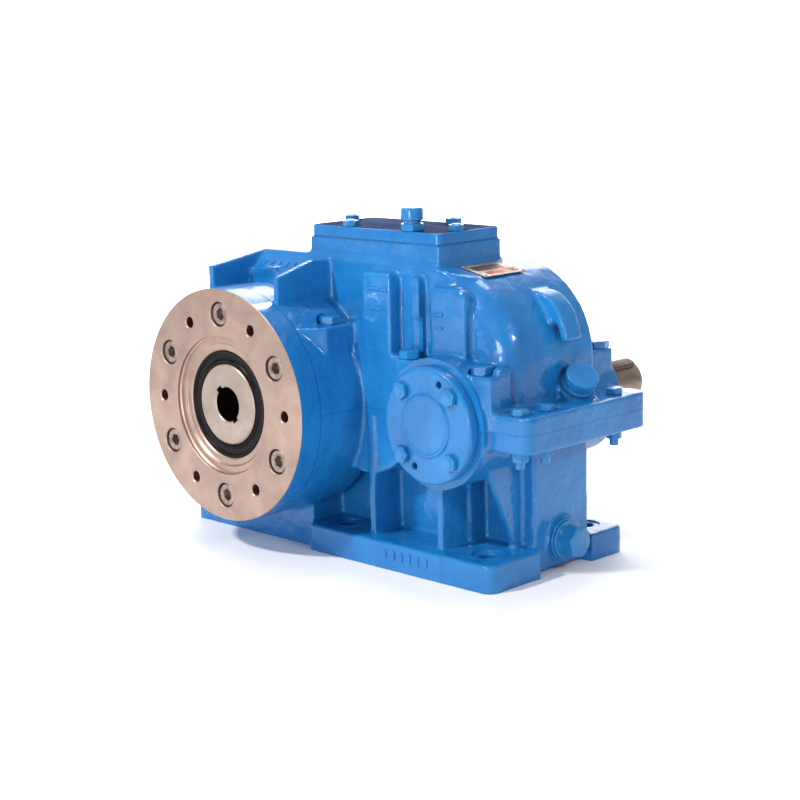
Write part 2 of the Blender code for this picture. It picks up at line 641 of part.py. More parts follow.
def involute_gear(module, teeth, face, centre_x, phase, flank_points):
    """A spur gear with involute flanks about an axis along Y; phase turns a tooth off +X."""
    pitch = module * teeth / 2
    base = pitch * math.cos(math.radians(20.0))
    root = pitch - 1.25 * module
    tip = pitch + module

    def roll(radius):
        ratio = max(radius / base, 1.0)
        tangent = math.sqrt(ratio * ratio - 1.0)
        return tangent - math.atan(tangent)

    half_tooth = math.pi / (2 * teeth) - BACKLASH / (4 * pitch) + roll(pitch)
    start = max(root, base)
    flank = [(root, half_tooth)] if root < base else []
    for i in range(flank_points):
        radius = start + (tip - start) * i / (flank_points - 1)
        flank.append((radius, half_tooth - roll(radius)))
    points = []
    for tooth in range(teeth):
        middle = phase + math.tau * tooth / teeth
        for radius, angle in flank:
            points.append((radius, middle - angle))
        for radius, angle in flank[::-1]:
            points.append((radius, middle + angle))
    outline = [(centre_x + radius * math.cos(angle), radius * math.sin(angle)) for radius, angle in points]
    return prism(outline, *face, "y")


def slow_gear_phase():
    """Turn of the output gear that puts a tooth space opposite the pinion's tooth."""
    return math.pi / SLOW_GEAR_TEETH


def bearing(name, seat, outside, low, high, centre_x, parent, segments=16):
    """Outer ring fixed in the housing and inner ring turning with its shaft."""
    centre = (centre_x, 0.0, 0.0)
    depth = (outside - seat) / 3.4
    outer = ring(outside - depth, outside, low, high, centre, segments)
    finish(outer, f"{name}_outer_ring", ground_steel(), centre)
    inner = ring(seat + 0.9, seat + depth, low + 0.5, high - 0.5, centre, segments)
    finish(inner, f"{name}_inner_ring", ground_steel(), centre, parent)


def key_block(width, radius, below, above, low, high, centre_x, angle=90.0):
    """A parallel key lying on a shaft, or the cutter for its slot."""
    block = box((-width / 2, width / 2), (low, high), (radius - below, radius + above))
    turn = Matrix.Rotation(math.radians(90.0 - angle), 4, "Y")
    block.data.transform(Matrix.Translation((centre_x, 0, 0)) @ turn)
    return block


def output_train():
    """Hollow output shaft, its gear and key, and its two bearings."""
    centre = (OUTPUT_X, 0.0, 0.0)
    carrier = axis_empty("output_axis", centre)
    back = REAR_BOSS_FACE + 8.0
    profile = [(BORE_RADIUS, HUB_FACE), (HUB_RADIUS - 1.5, HUB_FACE), (HUB_RADIUS, HUB_FACE + 1.5),
               (HUB_RADIUS, 44.0), (55.0, 44.0), (55.0, 140.0), (66.0, 140.0), (66.0, 164.0), (60.0, 164.0),
               (60.0, 226.0), (42.0, 226.0), (42.0, back), (BORE_RADIUS, back)]
    shaft = turned(profile, centre, segments=40)
    slots = [key_block(14.0, BORE_RADIUS, 3.0, 3.6, 0.0, 400.0, OUTPUT_X, angle) for angle in (128.0, 308.0)]
    slot = key_block(18.0, 60.0, 7.0, 5.0, SLOW_FACE[0], SLOW_FACE[1], OUTPUT_X)
    finish(cut(shaft, *slots, slot), "hollow_output_shaft", ground_steel(), centre, carrier)

    gear = involute_gear(SLOW_MODULE, SLOW_GEAR_TEETH, SLOW_FACE, OUTPUT_X, slow_gear_phase(), 2)
    low, high = SLOW_FACE
    gear = cut(gear, cylinder(60.5, low - 5, high + 5, centre, segments=40),
               key_block(18.4, 60.0, 2.0, 4.6, low - 5, high + 5, OUTPUT_X))
    finish(gear, "output_gear", gear_steel(), centre, carrier)
    key = key_block(17.4, 60.0, 6.6, 4.2, low + 0.4, high - 0.4, OUTPUT_X)
    finish(key, "output_gear_key", gear_steel(), centre, carrier)
    bearing("output_front_bearing", 55.0, 85.2, 96.0, 126.0, OUTPUT_X, carrier, 24)
    bearing("output_rear_bearing", 42.0, 75.2, 296.0, 322.0, OUTPUT_X, carrier, 24)


def intermediate_train():
    """Pinion shaft of the slow stage with the gear of the fast stage keyed on it."""
    centre = (INTERMEDIATE_X, 0.0, 0.0)
    carrier = axis_empty("intermediate_axis", centre)
    core = turned([(0, 125.0), (23.0, 125.0), (25.0, 127.0), (25.0, 156.0), (28.5, 156.0), (28.5, 228.0),
                   (34.0, 228.0), (34.0, 231.0), (30.0, 231.0), (30.0, 284.0), (25.0, 284.0), (25.0, 326.0),
                   (23.0, 328.0), (0, 328.0)], centre, segments=24)
    pinion = involute_gear(SLOW_MODULE, SLOW_PINION_TEETH, SLOW_FACE, INTERMEDIATE_X, math.pi, 3)
    low, high = FAST_FACE
    shaft = cut(join(core, pinion), key_block(10.0, 30.0, 4.0, 6.0, low, high, INTERMEDIATE_X))
    finish(shaft, "intermediate_pinion_shaft", gear_steel(), centre, carrier)
    phase = fast_gear_phase()
    gear = involute_gear(FAST_MODULE, FAST_GEAR_TEETH, FAST_FACE, INTERMEDIATE_X, phase, 2)
    gear = cut(gear, cylinder(30.4, low - 5, high + 5, centre, segments=24),
               key_block(10.4, 30.0, 2.0, 3.9, low - 5, high + 5, INTERMEDIATE_X))
    finish(gear, "intermediate_gear", gear_steel(), centre, carrier)
    key = key_block(9.4, 30.0, 3.6, 3.5, low + 0.4, high - 0.4, INTERMEDIATE_X)
    finish(key, "intermediate_gear_key", gear_steel(), centre, carrier)
    bearing("intermediate_front_bearing", 25.0, 45.2, 130.0, 152.0, INTERMEDIATE_X, carrier)
    bearing("intermediate_rear_bearing", 25.0, 45.2, 298.0, 320.0, INTERMEDIATE_X, carrier)


def fast_gear_phase():
    """Turn of the intermediate gear that puts a tooth space at +X, towards the input pinion."""
    return math.pi / FAST_GEAR_TEETH


def input_train():
    """Input pinion shaft, whose keyed end leaves the back of the housing."""
    centre = (INPUT_X, 0.0, 0.0)
    carrier = axis_empty("input_axis", centre)
    stub = INPUT_SHAFT_RADIUS
    core = turned([(0, 95.0), (23.0, 95.0), (25.0, 97.0), (25.0, 128.0), (30.0, 128.0), (30.0, 266.0),
                   (34.0, 266.0), (34.0, 288.0), (30.0, 288.0), (30.0, 330.0), (stub, 332.0),
                   (stub, SHAFT_END - 1.5), (stub - 1.5, SHAFT_END), (0, SHAFT_END)], centre, segments=24)
    pinion = involute_gear(FAST_MODULE, FAST_PINION_TEETH, FAST_FACE, INPUT_X, math.pi, 3)
    slot_low, slot_high = 382.0, 456.0
    slot = key_block(16.0, stub, 6.0, 7.0, slot_low, slot_high, INPUT_X, INPUT_KEY_ANGLE)
    finish(cut(join(core, pinion), slot), "input_pinion_shaft", ground_steel(), centre, carrier)
    key = key_block(15.4, stub, 5.6, 4.0, slot_low + 0.4, slot_high - 0.4, INPUT_X, INPUT_KEY_ANGLE)
    finish(key, "input_shaft_key", gear_steel(), centre, carrier)
    bearing("input_front_bearing", 25.0, 47.2, 98.0, 121.0, INPUT_X, carrier)
    bearing("input_rear_bearing", 30.0, 52.2, 300.0, 327.0, INPUT_X, carrier)


def build():
    for old in list(bpy.data.objects):
        bpy.data.objects.remove(old)
    housing()
    inspection_cover()
    breather()
    filler_plug()
    drain_plug()
    nameplate()
    output_flange()
    flange_screws()
    output_seal()
    input_bearing_cap()
    rear_covers()
    top_bolts()
    output_train()
    intermediate_train()
    input_train()


build()
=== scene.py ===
"""Looks of the gearbox: cast and painted housing, machined flange and shafts, fasteners and studio.

Shapes are drawn in millimetres from the centre of the output flange's face, with X along the row
of shafts, Y along the shafts and Z up, and are moved into the frame when each piece is made.
"""
import math

import bmesh
import bpy
from mathutils import Matrix, Vector


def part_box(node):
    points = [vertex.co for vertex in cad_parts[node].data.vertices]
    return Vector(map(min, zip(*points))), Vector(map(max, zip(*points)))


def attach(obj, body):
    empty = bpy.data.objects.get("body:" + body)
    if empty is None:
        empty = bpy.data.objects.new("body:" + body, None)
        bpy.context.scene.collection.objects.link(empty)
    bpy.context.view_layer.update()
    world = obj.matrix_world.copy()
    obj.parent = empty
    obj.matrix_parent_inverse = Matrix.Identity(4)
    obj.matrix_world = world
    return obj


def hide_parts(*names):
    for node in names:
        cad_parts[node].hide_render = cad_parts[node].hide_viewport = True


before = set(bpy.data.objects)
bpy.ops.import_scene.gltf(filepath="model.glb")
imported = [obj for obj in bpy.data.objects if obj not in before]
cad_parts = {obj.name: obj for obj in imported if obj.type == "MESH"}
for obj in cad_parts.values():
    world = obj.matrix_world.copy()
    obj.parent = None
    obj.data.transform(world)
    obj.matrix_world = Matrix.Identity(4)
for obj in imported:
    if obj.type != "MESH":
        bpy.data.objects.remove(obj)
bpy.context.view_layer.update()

MM = 0.001


def middle(node):
    low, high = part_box(node)
    return (low + high) / 2


def local_box(node):
    """A CAD node's lowest and highest corners as millimetres from the flange face's centre."""
    return [(corner - ORIGIN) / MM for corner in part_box(node)]


# ---------------- places read from the frame

FLANGE_LOW, FLANGE_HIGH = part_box("output_flange")
ORIGIN = Vector(((FLANGE_LOW.x + FLANGE_HIGH.x) / 2, FLANGE_LOW.y, (FLANGE_LOW.z + FLANGE_HIGH.z) / 2))
FLANGE_RADIUS = (FLANGE_HIGH.z - FLANGE_LOW.z) / 2 / MM
FLANGE_THICKNESS = (FLANGE_HIGH.y - FLANGE_LOW.y) / MM
OUTPUT_X = 0.0
INTERMEDIATE_X = ((middle("intermediate_gear") - ORIGIN) / MM).x
INPUT_X = ((middle("input_bearing_cap") - ORIGIN) / MM).x
CAP_LOW, CAP_HIGH = local_box("input_bearing_cap")
CAP_RADIUS = (CAP_HIGH.x - CAP_LOW.x) / 2
CAP_FRONT = CAP_LOW.y + 3.0
COVER_LOW, COVER_HIGH = local_box("inspection_cover")
GASKET_LOW, GASKET_HIGH = local_box("inspection_gasket")
LOWER_LOW, LOWER_HIGH = local_box("lower_housing")
UPPER_HIGH = local_box("upper_housing")[1]
UPPER_PAD_TOP = UPPER_HIGH.z
SHAFT_END = local_box("input_pinion_shaft")[1].y
KEY_LOW, KEY_HIGH = local_box("input_shaft_key")
REAR_FACE = LOWER_HIGH.y

# ---------------- design sizes

UP, DOWN, FORWARD, BACK, RIGHT = (0, 0, 1), (0, 0, -1), (0, -1, 0), (0, 1, 0), (1, 0, 0)
GAP = 0.3

# The castings' skin: voxel size, smoothing passes, (name, scale, height) of its waves, and the
# share of faces that is kept.
VOXEL = 2.2
SKIN_PASSES = 6
SKIN_WAVES = (("wavy", 22, 1.3), ("lumpy", 8, 0.5))
KEPT_FACES = 0.5

# Bare steel: turning marks across the surface, and how far a stain hides the metal.
TURNING_MARKS = 260
STAIN_DEPTH = 0.35

SPLIT_FLANGE_THICKNESS = (-24, 21)
SCREW_CIRCLE = 117.6
SCREW_ANGLES = (90, 30, -30, -90, -150, 150)
TAPPED_ANGLES = (120, 60, 0, -60, -120, 180)
THREAD_PITCH = 1.8
CAP_BOLT_CIRCLE = 55.6
CAP_BOLT_ANGLES = (45, 135, 225, 315)
JACKING_ANGLES = (68, 248)
CAP_SEAT = 85
BOLT_LIFT = 0.2
INPUT_SHAFT_RADIUS = 27.5
INPUT_KEY_ANGLE = 62
SHOULDER_CENTRE = (262.6, 64)
SHOULDER_RADIUS = 115.4
BOLT_BLOCK = ((62, 30), (106, 30), (134, 61), (134, 131), (62, 131))
FILLER_PLACE = (389, 235, 33)
FILLER_DIRECTION = (0.6, -0.25, 0.76)
DRAIN_PLACE = (374, 229, -158)
ROOF_SLOPE = -0.2217
FOOT_CORNER = 14
MARK_PITCH = 14
FOOT_HOLES = ((340, 124), (100, 124), (340, 312), (100, 312), (-140, 312))
WEB_PLACES = (165, 281)
COVER_OPENING = ((66, 229), (158, 219))

# Round bosses about the shafts: radius, front, back and axis.
BOSSES = ((FLANGE_RADIUS, 26, 132, OUTPUT_X), (84.5, 106, 156, INTERMEDIATE_X),
          (80, 80, 186, INPUT_X), (88, 280, 350, OUTPUT_X),
          (64, 280.5, 350, INTERMEDIATE_X), (77, 280.2, 350, INPUT_X))

# Bores for the bearings and shafts: radius, front, back, axis, segments and a small turn that
# keeps the cutters' edges off each other.
BORES = ((86, 20, 167, OUTPUT_X, 128, 0.011), (76.2, 268, 390, OUTPUT_X, 96, 0.012),
         (45.9, 124, 167.5, INTERMEDIATE_X, 64, 0.013), (45.9, 268.5, 390.5, INTERMEDIATE_X, 64, 0.014),
         (47.9, 70, 193, INPUT_X, 64, 0.015), (52.9, 268.2, 390.2, INPUT_X, 64, 0.016))


# ---------------- mesh helpers

def scratch(bm):
    """A linked working object made from the mesh; the mesh is used up."""
    bmesh.ops.recalc_face_normals(bm, faces=bm.faces)
    mesh = bpy.data.meshes.new("scratch")
    bm.to_mesh(mesh)
    bm.free()
    made = bpy.data.objects.new("scratch", mesh)
    bpy.context.scene.collection.objects.link(made)
    return made


def bake_modifiers(thing):
    """Apply every modifier on the object."""
    bpy.context.view_layer.update()
    evaluated = thing.evaluated_get(bpy.context.evaluated_depsgraph_get())
    result = bpy.data.meshes.new_from_object(evaluated)
    thing.modifiers.clear()
    thing.data = result
    return thing


def combine(base, tools, operation):
    """Union, cut or intersect with the tools, which are used up."""
    for tool in tools:
        modifier = base.modifiers.new("combine", "BOOLEAN")
        modifier.operation = operation
        modifier.solver = "MANIFOLD"
        modifier.object = tool
    bake_modifiers(base)
    for tool in tools:
        bpy.data.objects.remove(tool)
    return base


def join(base, *tools):
    return combine(base, tools, "UNION")


def cut(base, *tools):
    return combine(base, tools, "DIFFERENCE")


def keep(base, tool):
    return combine(base, [tool], "INTERSECT")


def box(x, y, z):
    bm = bmesh.new()
    bmesh.ops.create_cube(bm, size=1)
    bmesh.ops.scale(bm, vec=[high - low for low, high in (x, y, z)], verts=bm.verts)
    bmesh.ops.translate(bm, vec=[(high + low) / 2 for low, high in (x, y, z)], verts=bm.verts)
    return scratch(bm)


def prism_mesh(points, low, high, axis):
    """An outline extruded along an axis; its points are in the two other axes, in X, Y, Z order."""
    bm = bmesh.new()
    depth = high - low
    place = {"x": lambda a, b: (low, a, b), "y": lambda a, b: (a, low, b),
             "z": lambda a, b: (a, b, low)}
    step = {"x": (depth, 0, 0), "y": (0, depth, 0), "z": (0, 0, depth)}
    face = bm.faces.new([bm.verts.new(place[axis](a, b)) for a, b in points])
    grown = bmesh.ops.extrude_face_region(bm, geom=[face])
    moved = [item for item in grown["geom"] if isinstance(item, bmesh.types.BMVert)]
    bmesh.ops.translate(bm, vec=step[axis], verts=moved)
    return bm


def prism(points, low, high, axis):
    return scratch(prism_mesh(points, low, high, axis))


def arc(centre, radius, start, end, steps):
    angles = [math.radians(start + (end - start) * i / steps) for i in range(steps + 1)]
    return [(centre[0] + radius * math.cos(a), centre[1] + radius * math.sin(a)) for a in angles]


def rounded_rectangle(x, y, radius, steps=8):
    corners = ((x[1] - radius, y[1] - radius, 0), (x[0] + radius, y[1] - radius, 90),
               (x[0] + radius, y[0] + radius, 180), (x[1] - radius, y[0] + radius, 270))
    points = []
    for centre_x, centre_y, start in corners:
        points += arc((centre_x, centre_y), radius, start, start + 90, steps)
    return points


def turned(profile, centre, direction=BACK, segments=96, start=0):
    """A (radius, height) profile spun about an axis: a solid if it ends on the axis, else a ring."""
    bm = bmesh.new()
    verts = [bm.verts.new((radius, 0, height)) for radius, height in profile]
    pairs = list(zip(verts, verts[1:]))
    if profile[0][0] > 0:
        pairs.append((verts[-1], verts[0]))
    edges = [bm.edges.new(pair) for pair in pairs]
    bmesh.ops.spin(bm, geom=verts + edges, cent=(0, 0, 0), axis=(0, 0, 1), angle=math.tau,
                   steps=segments, use_merge=True)
    bmesh.ops.remove_doubles(bm, verts=bm.verts, dist=0.001)
    turn = Vector((0, 0, 1)).rotation_difference(Vector(direction).normalized()).to_matrix()
    turn = turn @ Matrix.Rotation(start, 3, "Z")
    bmesh.ops.rotate(bm, cent=(0, 0, 0), matrix=turn, verts=bm.verts)
    bmesh.ops.translate(bm, vec=centre, verts=bm.verts)
    return scratch(bm)


def cylinder(radius, low, high, centre, direction=BACK, segments=96, start=0):
    profile = [(0, low), (radius, low), (radius, high), (0, high)]
    return turned(profile, centre, direction, segments, start)


def softened(profile, radius, steps=3):
    """The same profile with its inner corners replaced by small rounds."""
    points = [Vector(point) for point in profile]
    closed = profile[0][0] > 0
    result = []
    for i, here in enumerate(points):
        if not closed and i in (0, len(points) - 1):
            result.append(tuple(here))
            continue
        before = points[i - 1] - here
        after = points[(i + 1) % len(points)] - here
        reach = min(radius, before.length * 0.45, after.length * 0.45)
        first = here + before.normalized() * reach
        last = here + after.normalized() * reach
        for step in range(steps + 1):
            share = step / steps
            bend = first * (1 - share) ** 2 + here * 2 * share * (1 - share) + last * share ** 2
            result.append(tuple(bend))
    return result


def polar(radius, angle, x=0):
    return x + radius * math.cos(math.radians(angle)), radius * math.sin(math.radians(angle))


def finish_piece(thing, name, look, body, nodes=(), smooth_angle=32):
    """Name the piece, move it into the frame, give it its material and let it ride on a body."""
    mesh = thing.data
    mesh.transform(Matrix.Translation(ORIGIN) @ Matrix.Scale(MM, 4))
    mesh.name = name
    thing.name = name
    mesh.materials.clear()
    mesh.materials.append(look)
    mesh.shade_smooth()
    mesh.set_sharp_from_angle(angle=math.radians(smooth_angle))
    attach(thing, body)
    if nodes:
        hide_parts(*nodes)
    return thing


def painted(thing, name, nodes, look, smooth_angle=30):
    """Finish a piece of the housing that is sprayed with it."""
    finish_piece(thing, name, look, "housing", nodes, smooth_angle)


# ---------------- materials

class Nodes:
    """Short calls for the shader nodes that the materials share."""

    def __init__(self, name):
        self.material = bpy.data.materials.new(name)
        self.material.use_nodes = True
        self.tree = self.material.node_tree
        self.shader = self.tree.nodes["Principled BSDF"]
        self.place = self.tree.nodes.new("ShaderNodeTexCoord").outputs["Object"]

    def link(self, source, target):
        self.tree.links.new(source, target)

    def add(self, kind, **numbers):
        """A new node with these numbers in its sockets."""
        node = self.tree.nodes.new(f"ShaderNode{kind}")
        for name, value in numbers.items():
            node.inputs[name.replace("_", " ")].default_value = value
        return node

    def mapped(self, stretch=None, offset=None):
        """The object's own coordinates, stretched or moved."""
        if stretch is None and offset is None:
            return self.place
        node = self.add("Mapping", Scale=stretch or (1, 1, 1), Location=offset or (0, 0, 0))
        self.link(self.place, node.inputs["Vector"])
        return node.outputs["Vector"]

    def noise(self, scale, detail=3, rough=0.5, stretch=None, distortion=0):
        node = self.add("TexNoise", Scale=scale, Detail=detail, Roughness=rough, Distortion=distortion)
        self.link(self.mapped(stretch), node.inputs["Vector"])
        return node.outputs["Fac"]

    def ramp(self, source, stops):
        """Colours along a factor, as (position, colour) pairs."""
        node = self.add("ValToRGB")
        elements = node.color_ramp.elements
        while len(elements) < len(stops):
            elements.new(0.5)
        for element, (position, colour) in zip(elements, stops):
            element.position = position
            element.color = (*colour, 1)
        self.link(source, node.inputs["Fac"])
        return node.outputs["Color"]

    def level(self, source, low, high, start=0.35, end=0.65):
        """The source's range from start to end, spread over low to high."""
        node = self.add("MapRange", From_Min=start, From_Max=end, To_Min=low, To_Max=high)
        self.link(source, node.inputs["Value"])
        return node.outputs["Result"]

    def put(self, value, socket):
        """Feed a socket from a node's output, a colour or a number."""
        if isinstance(value, bpy.types.NodeSocket):
            self.link(value, socket)
        elif isinstance(value, tuple):
            socket.default_value = (*value, 1)
        else:
            socket.default_value = value

    def mix(self, factor, first, second):
        """Blend two colours; a Mix node's colour sockets are 6 and 7, and its colour output is 2."""
        node = self.add("Mix")
        node.data_type = "RGBA"
        self.put(factor, node.inputs[0])
        self.put(first, node.inputs[6])
        self.put(second, node.inputs[7])
        return node.outputs[2]

    def bump(self, height, strength, distance, under=None):
        node = self.add("Bump", Strength=strength, Distance=distance)
        self.link(height, node.inputs["Height"])
        if under:
            self.link(under, node.inputs["Normal"])
        return node.outputs["Normal"]

    def rings(self, centre, scale):
        """Fine turning marks: rings about an axis along Y through the centre."""
        node = self.add("TexWave", Scale=scale, Distortion=0.3, Detail=2)
        node.wave_type = "RINGS"
        node.rings_direction = "Y"
        self.link(self.mapped(None, tuple(-value for value in centre)), node.inputs["Vector"])
        return node.outputs["Fac"]

    def fill(self, **values):
        """Fill the shader's sockets, named with underscores for spaces, and return the material."""
        for name, value in values.items():
            self.put(value, self.shader.inputs[name.replace("_", " ")])
        return self.material


def enamel(name, light, deep, casting=1, gloss=0.27, coat=0.5, shine=0.25):
    """Thick machine enamel: shade drift, faint runs, a wavy skin and the casting's grain under it."""
    m = Nodes(name)
    drift = m.noise(9, 4, 0.6)
    runs = m.noise(30, 3, 0.55, stretch=(1, 1, 0.22))
    base = m.ramp(drift, [(0.3, deep), (0.7, light)])
    streak = m.level(runs, 0, 0.35, 0.5, 0.75)
    colour = m.mix(streak, base, tuple(value * 0.72 for value in deep))
    speck = m.level(m.noise(420, 2), 0, 0.16, 0.66, 0.8)
    colour = m.mix(speck, colour, (0.02, 0.05, 0.11))
    wave = m.bump(m.noise(60, 3, 0.55, distortion=0.6), 0.62 * casting, 0.0026)
    grain = m.bump(m.noise(260, 3, 0.6), 0.28 * casting, 0.0008, wave)
    peel = m.bump(m.noise(900, 2), 0.10, 0.0002, grain)
    rough = m.level(m.noise(24, 3), gloss - 0.05, gloss + 0.13)
    return m.fill(Base_Color=colour, Roughness=rough, Normal=peel, Coat_Weight=coat,
                  Coat_Roughness=0.07, Specular_IOR_Level=shine)


def machined(name, axis_x, light, dark, rough):
    """Bare steel turned about an axis at this X: fine rings, faint heat tint and oily stains."""
    m = Nodes(name)
    centre = tuple(ORIGIN + Vector((axis_x, 0, 0)) * MM)
    between = tuple((a + b) / 2 for a, b in zip(light, dark))
    stains = m.noise(17, 5, 0.62, distortion=0.8)
    colour = m.ramp(stains, [(0.32, dark), (0.5, between), (0.68, light)])
    spots = m.level(m.noise(130, 4, 0.7), 0, STAIN_DEPTH, 0.6, 0.78)
    colour = m.mix(spots, colour, tuple(value * 0.35 for value in dark))
    normal = m.bump(m.rings(centre, TURNING_MARKS), 0.12, 0.00006)
    normal = m.bump(m.noise(700, 2), 0.08, 0.00008, normal)
    rough_value = m.level(m.noise(40, 4, 0.6), rough - 0.06, rough + 0.12)
    return m.fill(Base_Color=colour, Roughness=rough_value, Normal=normal, Metallic=1)


def steel(name, colour, rough, grime=0.4):
    """Plain steel with fine scratches and a film of grime."""
    m = Nodes(name)
    film = m.noise(120, 4, 0.65)
    shade = m.ramp(film, [(0.35, tuple(value * (1 - grime) for value in colour)), (0.65, colour)])
    scratch_bump = m.bump(m.noise(900, 2, 0.5, stretch=(1, 0.15, 1)), 0.2, 0.00005)
    rough_value = m.level(m.noise(210, 3), rough - 0.07, rough + 0.1)
    return m.fill(Base_Color=shade, Roughness=rough_value, Normal=scratch_bump, Metallic=1)


def rubber(name):
    """Black rubber with a little dust on it."""
    m = Nodes(name)
    dust = m.level(m.noise(90, 4, 0.7), 0, 0.5, 0.5, 0.8)
    colour = m.mix(dust, (0.004, 0.003, 0.004), (0.016, 0.011, 0.013))
    normal = m.bump(m.noise(1200, 2), 0.25, 0.00008)
    return m.fill(Base_Color=colour, Roughness=m.level(dust, 0.3, 0.5, 0, 0.5), Normal=normal,
                  Specular_IOR_Level=0.12)


def gasket_sheet(name):
    """Fibre sheet, painted over with the housing."""
    m = Nodes(name)
    fibre = m.noise(1600, 3, 0.6, stretch=(1, 1, 0.3))
    colour = m.ramp(fibre, [(0.3, (0.012, 0.09, 0.27)), (0.7, (0.02, 0.14, 0.36))])
    return m.fill(Base_Color=colour, Roughness=0.9, Normal=m.bump(fibre, 0.4, 0.0002))


# ---------------- castings

def shoulder_outline():
    """The upper housing seen along the shafts: snout, sloping roof and round shoulder."""
    left = arc((OUTPUT_X, 0), 172, 180, 118, 24)
    roof_left = (left[-1][0] + 22, 186)
    shoulder = arc(SHOULDER_CENTRE, SHOULDER_RADIUS, 68.4, 0, 40)
    right = SHOULDER_CENTRE[0] + SHOULDER_RADIUS
    roof = [roof_left, (34, 186), (261, 181)]
    return left + roof + shoulder + [(right, -6), (-172, -6)]


def upper_body():
    """The main upper shell, with a wide round on the front edge of its shoulder."""
    bm = prism_mesh(shoulder_outline(), 126, 283, "y")
    bmesh.ops.recalc_face_normals(bm, faces=bm.faces)
    front_round = []
    for edge in bm.edges:
        on_front = all(abs(vert.co.y - 126) < 0.01 for vert in edge.verts)
        on_shoulder = all(vert.co.x > 303 for vert in edge.verts)
        if on_front and on_shoulder and max(vert.co.z for vert in edge.verts) > 1:
            front_round.append(edge)
    bmesh.ops.bevel(bm, geom=front_round, offset=34, offset_type="OFFSET", segments=10, profile=0.5,
                    affect="EDGES", clamp_overlap=False)
    return scratch(bm)


def lifting_hook():
    """A curved lug that leaves the shoulder and ends in a free tip."""
    outer = []
    inner = []
    steps = 24
    for i in range(steps + 1):
        share = i / steps
        angle = math.radians(52 - 39 * share)
        rise = 22 * math.sin(min(share / 0.6, 1) * math.pi / 2)
        outer.append((SHOULDER_RADIUS - 3 + rise, angle))
        inner.append((SHOULDER_RADIUS - 8 if share < 0.7 else SHOULDER_RADIUS + 9, angle))
    points = [(SHOULDER_CENTRE[0] + r * math.cos(a), SHOULDER_CENTRE[1] + r * math.sin(a))
              for r, a in outer + inner[::-1]]
    return prism(points, 212, 242, "y")


def boss(radius, low, high, x, z_side):
    """Half of a round boss about a shaft axis, on the upper (+1) or lower (-1) side of the split."""
    round_part = cylinder(radius, low, high, (x, 0, 0), segments=128)
    half = (-6, 400) if z_side > 0 else (-400, 6)
    return keep(round_part, box((-400, 600), (-100, 600), half))


def split_flange(low, high):
    """The flange along the split, left away between the bolt block and the cap."""
    slab = prism(rounded_rectangle((-190, 429), (95, 328), 16), low, high, "z")
    return cut(slab, box((60, 213), (80, 106), (-40, 40)))


def cast_skin(parts, half):
    """Fuse rough shapes and give them the soft corners and uneven skin of a sand casting."""
    solid = join(parts[0], *parts[1:])
    remesh = solid.modifiers.new("skin", "REMESH")
    remesh.mode = "VOXEL"
    remesh.voxel_size = VOXEL
    remesh.adaptivity = 0
    smooth = solid.modifiers.new("soft", "SMOOTH")
    smooth.factor = 0.5
    smooth.iterations = SKIN_PASSES
    bake_modifiers(solid)
    for kind, scale, strength in SKIN_WAVES:
        texture = bpy.data.textures.new(f"{kind}_{half}", "CLOUDS")
        texture.noise_scale = scale
        texture.noise_depth = 1
        displace = solid.modifiers.new(kind, "DISPLACE")
        displace.texture = texture
        displace.texture_coords = "LOCAL"
        displace.strength = strength
        displace.mid_level = 0.5
    return bake_modifiers(solid)


def lower_rough():
    """The lower half before machining: foot, tank, bosses, ribs and split flange."""
    foot_outline = [(-174, 97), (60, 97)]
    foot_outline += arc((74, 97), FOOT_CORNER, 180, 270, 6)[1:]
    foot_outline += arc((367, 97), FOOT_CORNER, 270, 360, 8)
    foot_outline += [(381, 176), (370, 176), (370, 275), (381, 275)]
    foot_outline += arc((367, 328), FOOT_CORNER, 0, 90, 8)
    foot_outline += [(-174, 342)]
    bosses = [boss(*row, -1) for row in BOSSES]
    parts = [
        split_flange(SPLIT_FLANGE_THICKNESS[0], 6),
        prism(foot_outline, -202, -161, "z"),
        box((-172, 290), (150, 283), (-165, 5)),
        box((280, 369), (178, 282.5), (-166, 4)),
        box((-171.5, 60), (97.5, 160), (-190, -30)),
        *bosses[:2],
        prism(BOLT_BLOCK, -68, 6, "z"),
        *bosses[2:],
        cylinder(29, -8, 6, DRAIN_PLACE, RIGHT, segments=64),
        prism([(99, -10), (180, -10), (180, -164), (165, -164)], 340, 350, "x"),
    ]
    for x in WEB_PLACES:
        parts.append(box((x - 5, x + 5), (103, 182), (-163, -10)))
    return parts


